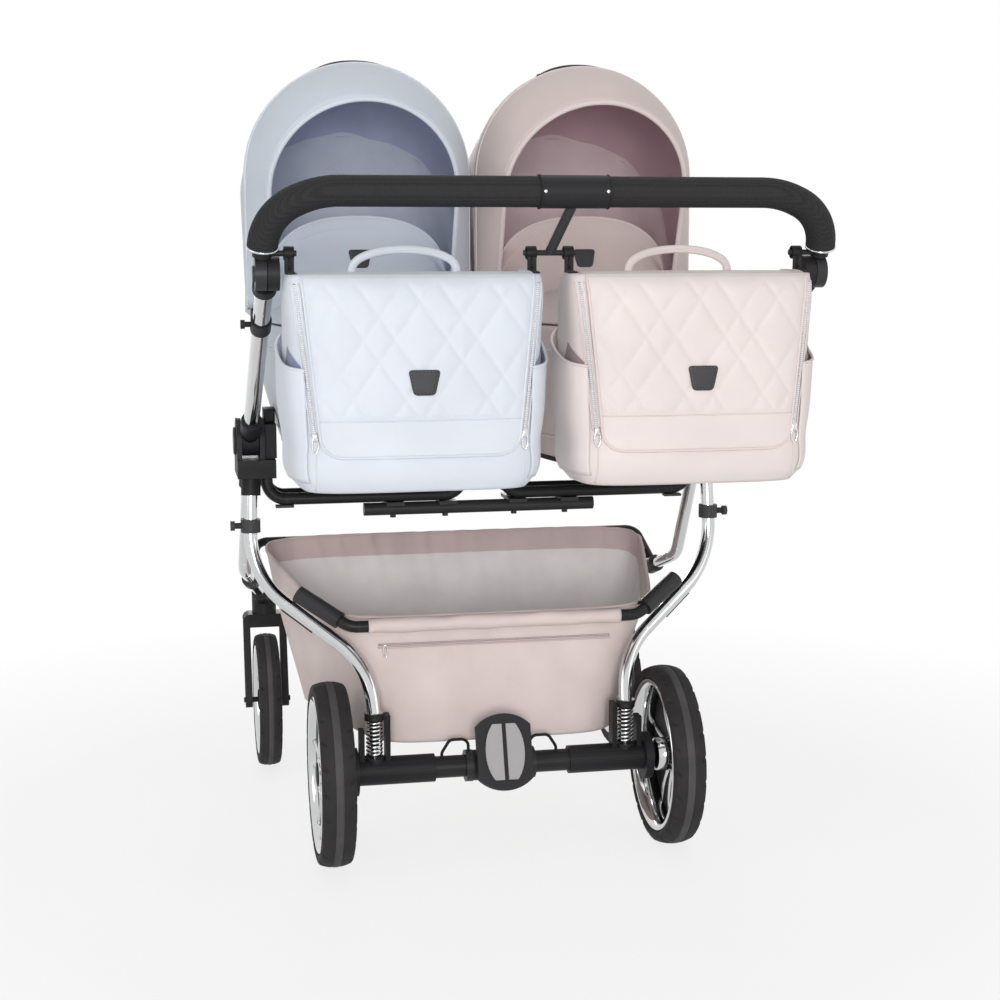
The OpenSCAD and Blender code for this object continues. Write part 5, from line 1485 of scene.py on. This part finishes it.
def make_trim():
    """Trim of both sides, and the rivets and end rings of the handlebar's sleeve."""
    for label, side in SIDES:
        make_side_trim(label, side)
    for x, tag in ((SLEEVE_X[0] + 5, "a"), (SLEEVE_X[1] - 5, "b")):
        knob = []
        for r, h in ((2.6, -0.5), (2.6, 0.5), (1.9, 1.1), (0.9, 1.3), (0.05, 1.35)):
            knob.append([(x + r * math.cos(t), HANDLE_Y - SLEEVE_R - h, HANDLE_Z + r * math.sin(t))
                         for t in full_circle(20)])
        rivet = surface("sleeve_rivet_" + tag, knob, CHROME, closed=True, cap_last=True)
        settle(rivet, "handle")
    for x, tag in ((SLEEVE_X[0] + 0.6, "a"), (SLEEVE_X[1] - 0.6, "b")):
        centre = (x, HANDLE_Y, HANDLE_Z)
        ring = ring_of("sleeve_end_ring_" + tag, centre, (1, 0, 0), SLEEVE_R + 0.2, 1.2, PLASTIC)
        settle(ring, "handle")


# Stage

# Where the floor's shadow fades out, in metres from the middle, and how much white hides it near the middle
SHADOW_NEAR = 0.8
SHADOW_FAR = 1.7
FLOOR_GLOW = 0.78
# Strength of the white surroundings as a light
SURROUND_LIGHT = 0.28
LAMP_AIM = Vector((0, 0, 0.7))
# Camera fitted to the photo, in millimetres and degrees
CAMERA_POINT = (-542.2, -2700.2, 1012.7)
CAMERA_TILT = 81.216
CAMERA_TURN = -11.302
CAMERA_LENS = 62.397


def seen_by_eye(tree):
    """Output that is 1 for rays from the eye, also by way of metal or glass."""
    path = tree.nodes.new("ShaderNodeLightPath")
    found = path.outputs["Is Camera Ray"]
    for ray in ("Is Glossy Ray", "Is Transmission Ray"):
        either = tree.nodes.new("ShaderNodeMath")
        either.operation = "MAXIMUM"
        tree.links.new(found, either.inputs[0])
        tree.links.new(path.outputs[ray], either.inputs[1])
        found = either.outputs["Value"]
    return found


def make_stage():
    """White floor that keeps the shadow, white surroundings and soft lamps."""
    bpy.ops.mesh.primitive_plane_add(size=40, location=(0, 0, -0.0005))
    floor = bpy.context.object
    floor.name = "floor"
    paper = Shader("white_paper_floor")
    paper.tint(paper.noise(3), (0.9, 0.9, 0.9), (0.93, 0.93, 0.93))
    paper.rough(paper.noise(20), 0.8, 0.95)
    white = paper.node("ShaderNodeEmission", Strength=1.0)
    blend = paper.node("ShaderNodeMixShader")
    away = paper.node("ShaderNodeVectorMath", operation="LENGTH")
    paper.link(paper.place, away.inputs[0])
    fade = paper.node("ShaderNodeMapRange")
    fade.inputs["From Min"].default_value = SHADOW_NEAR
    fade.inputs["From Max"].default_value = SHADOW_FAR
    fade.inputs["To Min"].default_value = FLOOR_GLOW
    paper.link(away.outputs["Value"], fade.inputs["Value"])
    seen = seen_by_eye(paper.tree)
    paper.link(paper.math("MULTIPLY", seen, fade.outputs["Result"]), blend.inputs[0])
    paper.link(paper.surface.outputs["BSDF"], blend.inputs[1])
    paper.link(white.outputs["Emission"], blend.inputs[2])
    paper.link(blend.outputs["Shader"], paper.tree.nodes["Material Output"].inputs["Surface"])
    floor.data.materials.append(paper.material)

    world = bpy.data.worlds.new("white_surround")
    bpy.context.scene.world = world
    world.use_nodes = True
    tree = world.node_tree
    back = tree.nodes["Background"]
    back.inputs["Color"].default_value = (1, 1, 1, 1)
    spread = tree.nodes.new("ShaderNodeMapRange")
    spread.inputs["To Min"].default_value = SURROUND_LIGHT
    spread.inputs["To Max"].default_value = 1.0
    tree.links.new(seen_by_eye(tree), spread.inputs["Value"])
    tree.links.new(spread.outputs["Result"], back.inputs["Strength"])

    # Each lamp: name, place in metres, size in metres and power in watts
    lamps = (
        ("front_softbox", (-0.9, -7.0, 1.6), 2.4, 275),
        ("left_softbox", (-3.2, -1.4, 1.7), 1.8, 18),
        ("right_softbox", (3.0, -1.6, 1.7), 1.8, 10),
        ("top_softbox", (0.0, 0.3, 3.2), 3.0, 14),
        ("back_softbox", (0.6, 7.0, 1.8), 2.4, 110),
    )
    for name, where, size, power in lamps:
        lamp = bpy.data.lights.new(name, "AREA")
        lamp.shape = "SQUARE"
        lamp.size = size
        lamp.energy = power
        obj = bpy.data.objects.new(name, lamp)
        obj.location = where
        aim = LAMP_AIM - Vector(where)
        obj.rotation_euler = aim.to_track_quat("-Z", "Y").to_euler()
        obj.visible_camera = False
        bpy.context.scene.collection.objects.link(obj)


def make_camera():
    camera = bpy.data.cameras.new("camera")
    camera.sensor_width = 36
    camera.lens = CAMERA_LENS
    camera.clip_end = 100
    obj = bpy.data.objects.new("camera", camera)
    obj.location = place_of(*CAMERA_POINT)
    obj.rotation_euler = (math.radians(CAMERA_TILT), 0, math.radians(CAMERA_TURN))
    bpy.context.scene.collection.objects.link(obj)
    bpy.context.scene.camera = obj


bpy.context.scene.view_settings.view_transform = "Standard"
make_camera()
make_stage()
dress_nodes()
make_wheels()
make_springs()
make_bags()
pad_points, pad_faces = swollen_pad()
for cot_label, cot_side in SIDES:
    make_cot_tub(cot_label, cot_side)
    make_cot_fittings(cot_label, cot_side)
    make_cot_arms(cot_label, cot_side)
    make_mattress(cot_label, cot_side, pad_points, pad_faces)
    make_apron(cot_label, cot_side)
    make_hood(cot_label, cot_side)
make_basket()
make_trim()
